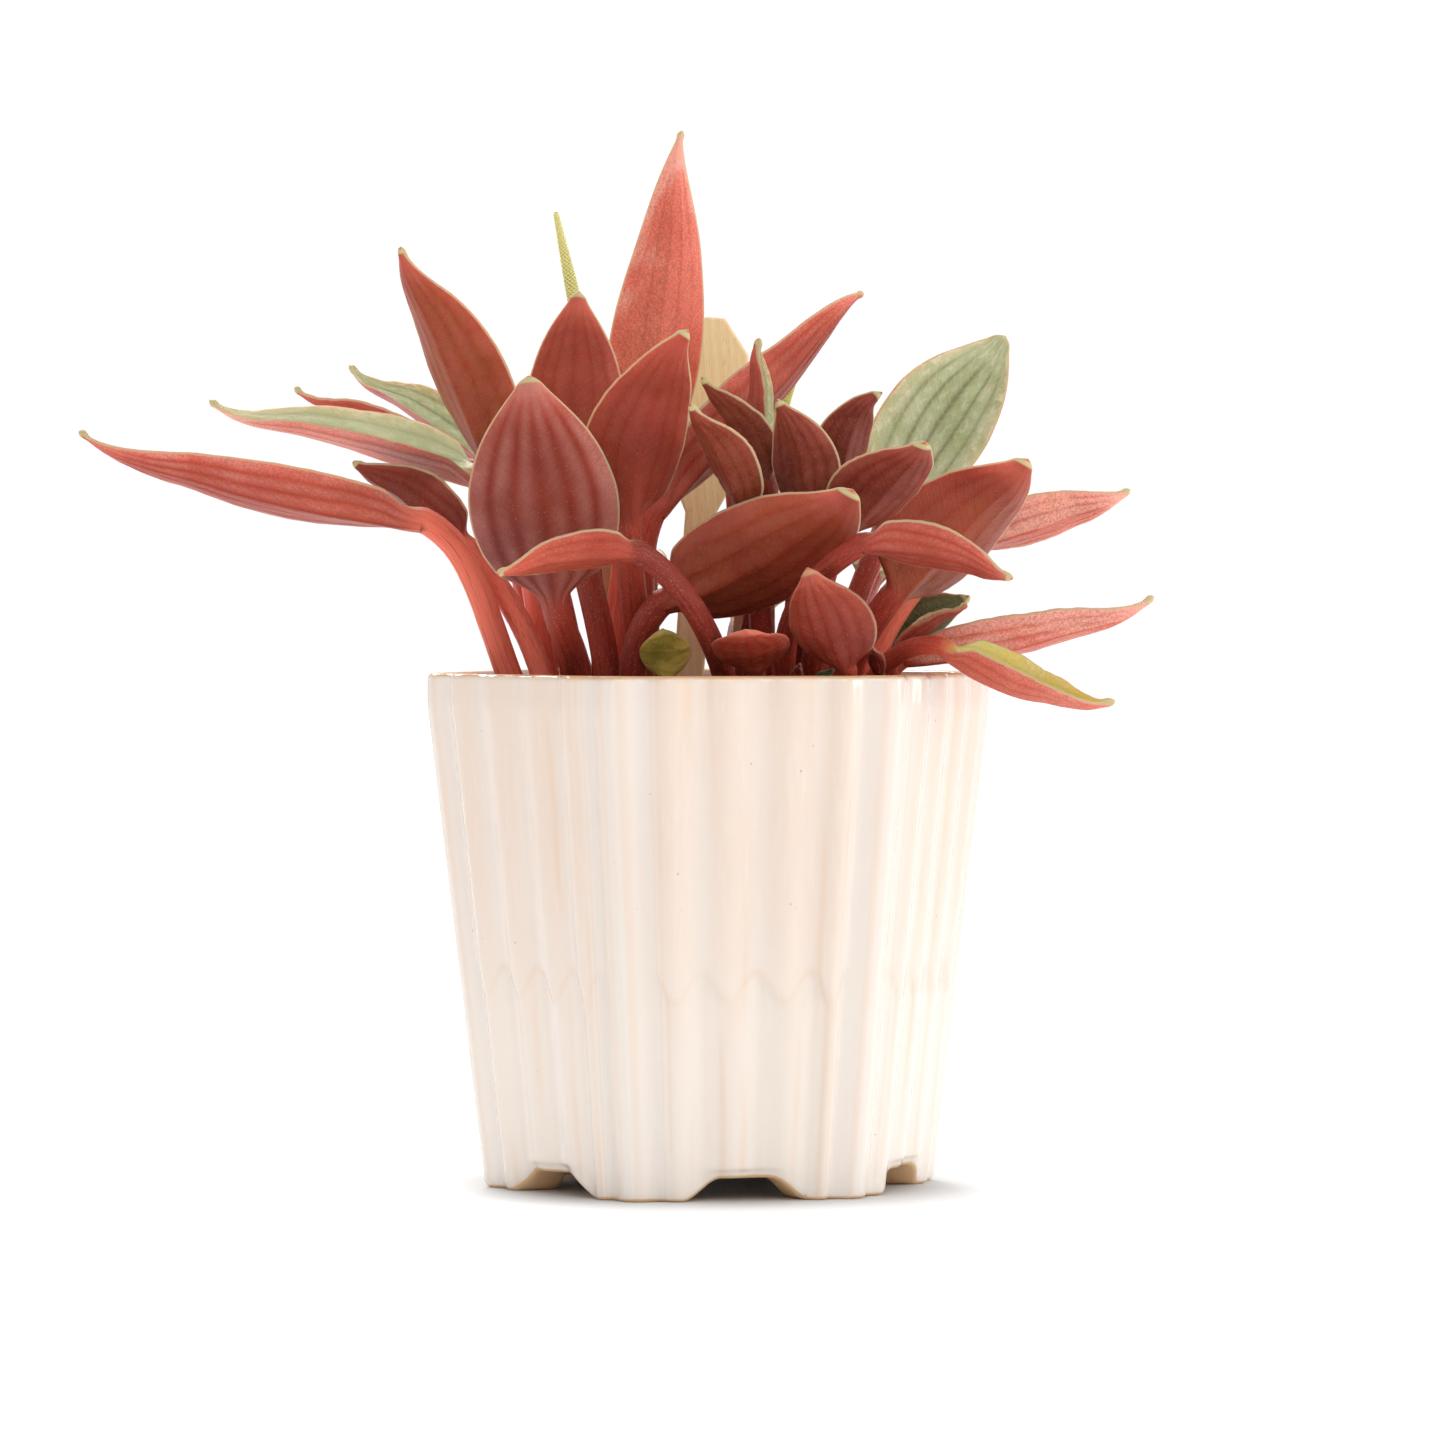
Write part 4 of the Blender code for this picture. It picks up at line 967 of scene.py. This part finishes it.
soilObject = runTree("peat", soilMesh(), soilTree(peatMaterial()), {
    "Lump": soil["lump"], "Crumbs": soil["crumbs"], "Crumb Size": soil["crumbSize"], "Seed": 11})
settle(soilObject, "soil")
print("soil:", len(soilObject.data.polygons), "faces")


# Crowns: short knobbly stems at soil level, a sheath round the foot of every stalk

crown = dict(
    low=87.4, high=91.6, voxel=0.45, splitX=-1.0,
    sheaths=((3.2, 3.5), (1.6, 3.15)),          # depth below the top, radius
    knobs=(0.3, 0.55, 0.8), knobRadius=3.3, knobVaries=0.5, knobRise=1.2)


def crownMaterial():
    material, place, sockets = newMaterial("crown_skin", Subsurface_Weight=0.1, Subsurface_Scale=0.001)
    cloud, fine = place.noise(260.0, 4.0, 0.6), place.noise(1800.0)
    rise = place.part("Z").ease(0.088, 0.0915) + cloud - 0.5
    colour = layers(
        rise.colour((0.085, 0.035, 0.022), (0.34, 0.065, 0.045)),
        (cloud.ease(0.56, 0.68) * 0.6, (0.20, 0.15, 0.07)),
        (fine.ease(0.62, 0.7) * 0.4, (0.42, 0.22, 0.14)))
    dress(sockets, colour, fine * 0.3 + 0.42, cloud + fine * 0.4, 0.6, 0.0004)
    return material


def buildCrown(name, feet, material):
    shape = bmesh.new()

    def ball(x, y, z, radius, squash, steps):
        made = bmesh.ops.create_uvsphere(shape, u_segments=steps[0], v_segments=steps[1], radius=radius * mm)
        bmesh.ops.scale(shape, verts=made["verts"], vec=(1.0, 1.0, squash))
        bmesh.ops.translate(shape, verts=made["verts"], vec=((x + potAxisX) * mm, y * mm, z * mm))

    middle = np.mean(feet, axis=0)
    for number, foot in enumerate(feet):
        for depth, radius in crown["sheaths"]:
            ball(*foot, crown["high"] - depth, radius, 0.8, (16, 10))
        radius = crown["knobRadius"] + crown["knobVaries"] * sin(number * 2.3)
        for step in crown["knobs"]:
            place = middle + (np.array(foot) - middle) * step
            ball(*place, crown["low"] + crown["knobRise"], radius, 0.62, (14, 8))
    rough = newObject(name + "_rough", meshFrom(shape, name))
    remesh = rough.modifiers.new("one skin", "REMESH")
    remesh.mode = "VOXEL"
    remesh.voxel_size = crown["voxel"] * mm
    relax = rough.modifiers.new("relax", "SMOOTH")
    relax.factor = 0.5
    relax.iterations = 5
    mesh = bakedMesh(rough)
    mesh.polygons.foreach_set("use_smooth", [True] * len(mesh.polygons))
    mesh.materials.append(material)
    turnOutwards(mesh)
    settle(newObject(name + "_stem", mesh), name)


# Flower spikes: a stalk, then a tube crowded with tiny round flowers in a spiral

# turn is the golden angle; flowers sit at depth, a share of the tube's radius, and grow with it
spikeSkin = dict(rows=90, around=14, end=0.25, turn=2.39996, depth=0.80, least=0.45, grows=0.40)
spikes = {
    "flower_spike_left": dict(
        points=((-17, 6, 91.6, 1.2), (-20, 11, 118, 1.1), (-22.5, 14.5, 142, 1.15), (-24, 15, 158, 1.45),
                (-27, 14, 173, 1.15), (-30, 13, 187.2, 0.35)),
        flowersFrom=0.50, flowers=900, knob=0.50),
    "flower_spike_right": dict(
        points=((4, 4, 91.6, 1.2), (6, 5.5, 112, 1.1), (8.5, 6.5, 128, 1.15), (10.5, 10.5, 138, 1.6),
                (13.5, 14.8, 149, 1.45), (17, 19, 157.6, 0.5)),
        flowersFrom=0.42, flowers=800, knob=0.52),
}


def smoothRow(points, count):
    # a smooth row of points and radii through the given ones
    points = np.array(points, float)
    ends = np.vstack([2 * points[0] - points[1], points, 2 * points[-1] - points[-2]])
    rows = []
    for place in np.linspace(0, len(points) - 1, count):
        i = min(int(place), len(points) - 2)
        t = place - i
        a, b, c, d = ends[i:i + 4]
        bends = (2 * a - 5 * b + 4 * c - d) * t**2 + (3 * b - a - 3 * c + d) * t**3
        rows.append(0.5 * (2 * b + (c - a) * t + bends))
    return np.array(rows)


def spikeTree(material):
    start, given = newTree("flower_spike", ("Flowers", "Around"), ("Flowers From", "Knob"))
    girth = start.read("girth")
    path = start.add("GeometryNodeMeshToCurve", None, {"Mesh": given["Geometry"]})
    path = start.add("GeometryNodeSetCurveNormal", {"mode": "MINIMUM_TWIST"}, {"Curve": path})
    path = path.store(flowerShare=start.add("GeometryNodeSplineParameter", out="Factor"))
    ring = start.add("GeometryNodeCurvePrimitiveCircle", None, {"Resolution": given["Around"], "Radius": 1.0})
    core = start.add("GeometryNodeCurveToMesh", None, {
        "Curve": path, "Profile Curve": ring, "Scale": girth * mm, "Fill Caps": True})
    index = start.add("GeometryNodeInputIndex")
    step = index / given["Flowers"] * 0.995
    spot = start.add(
        "GeometryNodeSampleCurve", {"data_type": "FLOAT", "mode": "FACTOR", "use_all_curves": True},
        {"Curves": path, "Value": girth, "Factor": step.blend(given["Flowers From"], 1)})
    turn = index * spikeSkin["turn"]
    normal = spot.other("Normal")
    binormal = normal.vector("CROSS_PRODUCT", spot.other("Tangent"))
    outward = normal.scaled(turn.cos()).vector("ADD", binormal.scaled(turn.sin()))
    place = spot.other("Position").vector("ADD", outward.scaled(spot * spikeSkin["depth"] * mm))
    line = start.add("GeometryNodeMeshLine", None, {"Count": given["Flowers"]}).moved("Position", place)
    flower = start.add("GeometryNodeMeshIcoSphere", None, {"Radius": 1.0, "Subdivisions": 1})
    size = given["Knob"] * (spikeSkin["least"] + spot * spikeSkin["grows"]) * mm
    spread = start.add("GeometryNodeInstanceOnPoints", None, {
        "Points": line, "Instance": flower, "Scale": start.join(size, size, size)})
    spread = start.add("GeometryNodeRealizeInstances", None, {"Geometry": spread})
    spread = spread.store(flower=start.math("ADD", 1.0, 0.0))     # the shader tells flowers by this 1
    return core.together(spread).finish(material)


def spikeMaterial():
    material, place, sockets = newMaterial(
        "spike_skin", Subsurface_Weight=0.3, Subsurface_Scale=0.0015, Subsurface_Radius=(1.0, 0.9, 0.3))
    cloud, fine = place.noise(300.0, 3.0), place.noise(2400.0)
    flowers = (place.part("Z").ease(0.130, 0.185) * 0.85 + cloud * 0.15).colour(
        (0.58, 0.50, 0.10), (0.95, 0.83, 0.30))
    colour = layers(
        place.kept("flowerShare").ease(0.30, 0.5).colour((0.48, 0.20, 0.10), (0.40, 0.36, 0.07)),
        (fine.ease(0.5, 0.7) * 0.4, (0.24, 0.22, 0.04)),
        (place.kept("flower"), flowers),
        (cloud.ease(0.55, 0.75) * 0.3, (0.74, 0.66, 0.34)))
    dress(sockets, colour, fine * 0.2 + 0.42, fine, 0.3, 0.0001)
    return material


def buildSpike(name, row, tree):
    rows = smoothRow(row["points"], spikeSkin["rows"])
    places, girth = rows[:, :3] + (potAxisX, 0.0, 0.0), np.maximum(rows[:, 3], spikeSkin["end"])
    made = runTree(name + "_grown", guideMesh(name, places, {"girth": girth}), tree, {
        "Flowers": row["flowers"], "Flowers From": row["flowersFrom"], "Knob": row["knob"],
        "Around": spikeSkin["around"]})
    turnOutwards(made.data)
    settle(made, name)


feet = {"crown_left": [], "crown_right": []}
for foot in [row["root"] for row in leaves.values()] + [row["points"][0][:2] for row in spikes.values()]:
    feet["crown_left" if foot[0] < crown["splitX"] else "crown_right"].append(foot)
stemSkin = crownMaterial()
for crownName, places in feet.items():
    buildCrown(crownName, places, stemSkin)
print("crowns:", len(feet))

spikeGrower = spikeTree(spikeMaterial())
for spikeName, spikeRow in spikes.items():
    buildSpike(spikeName, spikeRow, spikeGrower)
print("flower spikes:", len(spikes))


# Wooden label: a thin stake with a clipped head, its face left bare

label = dict(
    y=27.0, thickness=2.0, headWidth=14.4, stakeWidth=6.0, top=167.4, shoulder=138.0, bottom=62.0,
    lean=4.2, topX=0.8, clipWidth=5.2, clipHeight=7.0, neck=9.0, point=1.2, pointHeight=8.0, worn=0.55)


def labelMaterial():
    material, place, sockets = newMaterial("sanded_wood", Specular_IOR_Level=0.3)
    turned = place.mapped(turn=(0.0, radians(label["lean"]), 0.0))
    tall = turned.mapped((1.0, 1.0, 0.05))
    grain = tall.noise(1100.0, 3.0, 0.6)
    pores = turned.mapped((1.0, 1.0, 0.12)).noise(3800.0, 1.0)
    colour = layers(
        tall.waves(190.0, 6.0, 3.0, 2.0).colour((0.93, 0.64, 0.37), (0.95, 0.70, 0.45)),
        (grain.ease(0.5, 0.7) * 0.3, (0.84, 0.50, 0.24)),
        (pores.ease(0.64, 0.70) * 0.35, (0.62, 0.34, 0.15)))
    dress(sockets, colour, grain * 0.2 + 0.48, grain + pores * -0.8, 0.5, 0.00012)
    return material


def buildLabel():
    head, stake, rise = label["headWidth"] / 2, label["stakeWidth"] / 2, label["top"] - label["shoulder"]
    low = label["bottom"] - label["shoulder"]
    right = (
        (label["point"], low), (stake, low + label["pointHeight"]), (stake, -label["neck"]), (head, 0.0),
        (head, rise - label["clipHeight"]), (head - label["clipWidth"], rise))
    outline = list(right) + [(-x, z) for x, z in reversed(right)]
    lean = radians(label["lean"])
    startX = label["topX"] - rise * sin(lean) + potAxisX
    shape = bmesh.new()
    front, back = ([shape.verts.new((
        (startX + x * cos(lean) + z * sin(lean)) * mm, y * mm,
        (label["shoulder"] + z * cos(lean) - x * sin(lean)) * mm)) for x, z in outline]
        for y in (label["y"] - label["thickness"] / 2, label["y"] + label["thickness"] / 2))
    shape.faces.new(front)
    shape.faces.new(reversed(back))
    band(shape, front, back)
    bmesh.ops.recalc_face_normals(shape, faces=shape.faces)
    made = newObject("wooden_label", meshFrom(shape, "wooden_label"))
    worn = made.modifiers.new("worn edges", "BEVEL")
    worn.width = label["worn"] * mm
    worn.segments = 3
    made.data.materials.append(labelMaterial())
    settle(made, "plant_label")
    print("label is ready")


buildLabel()
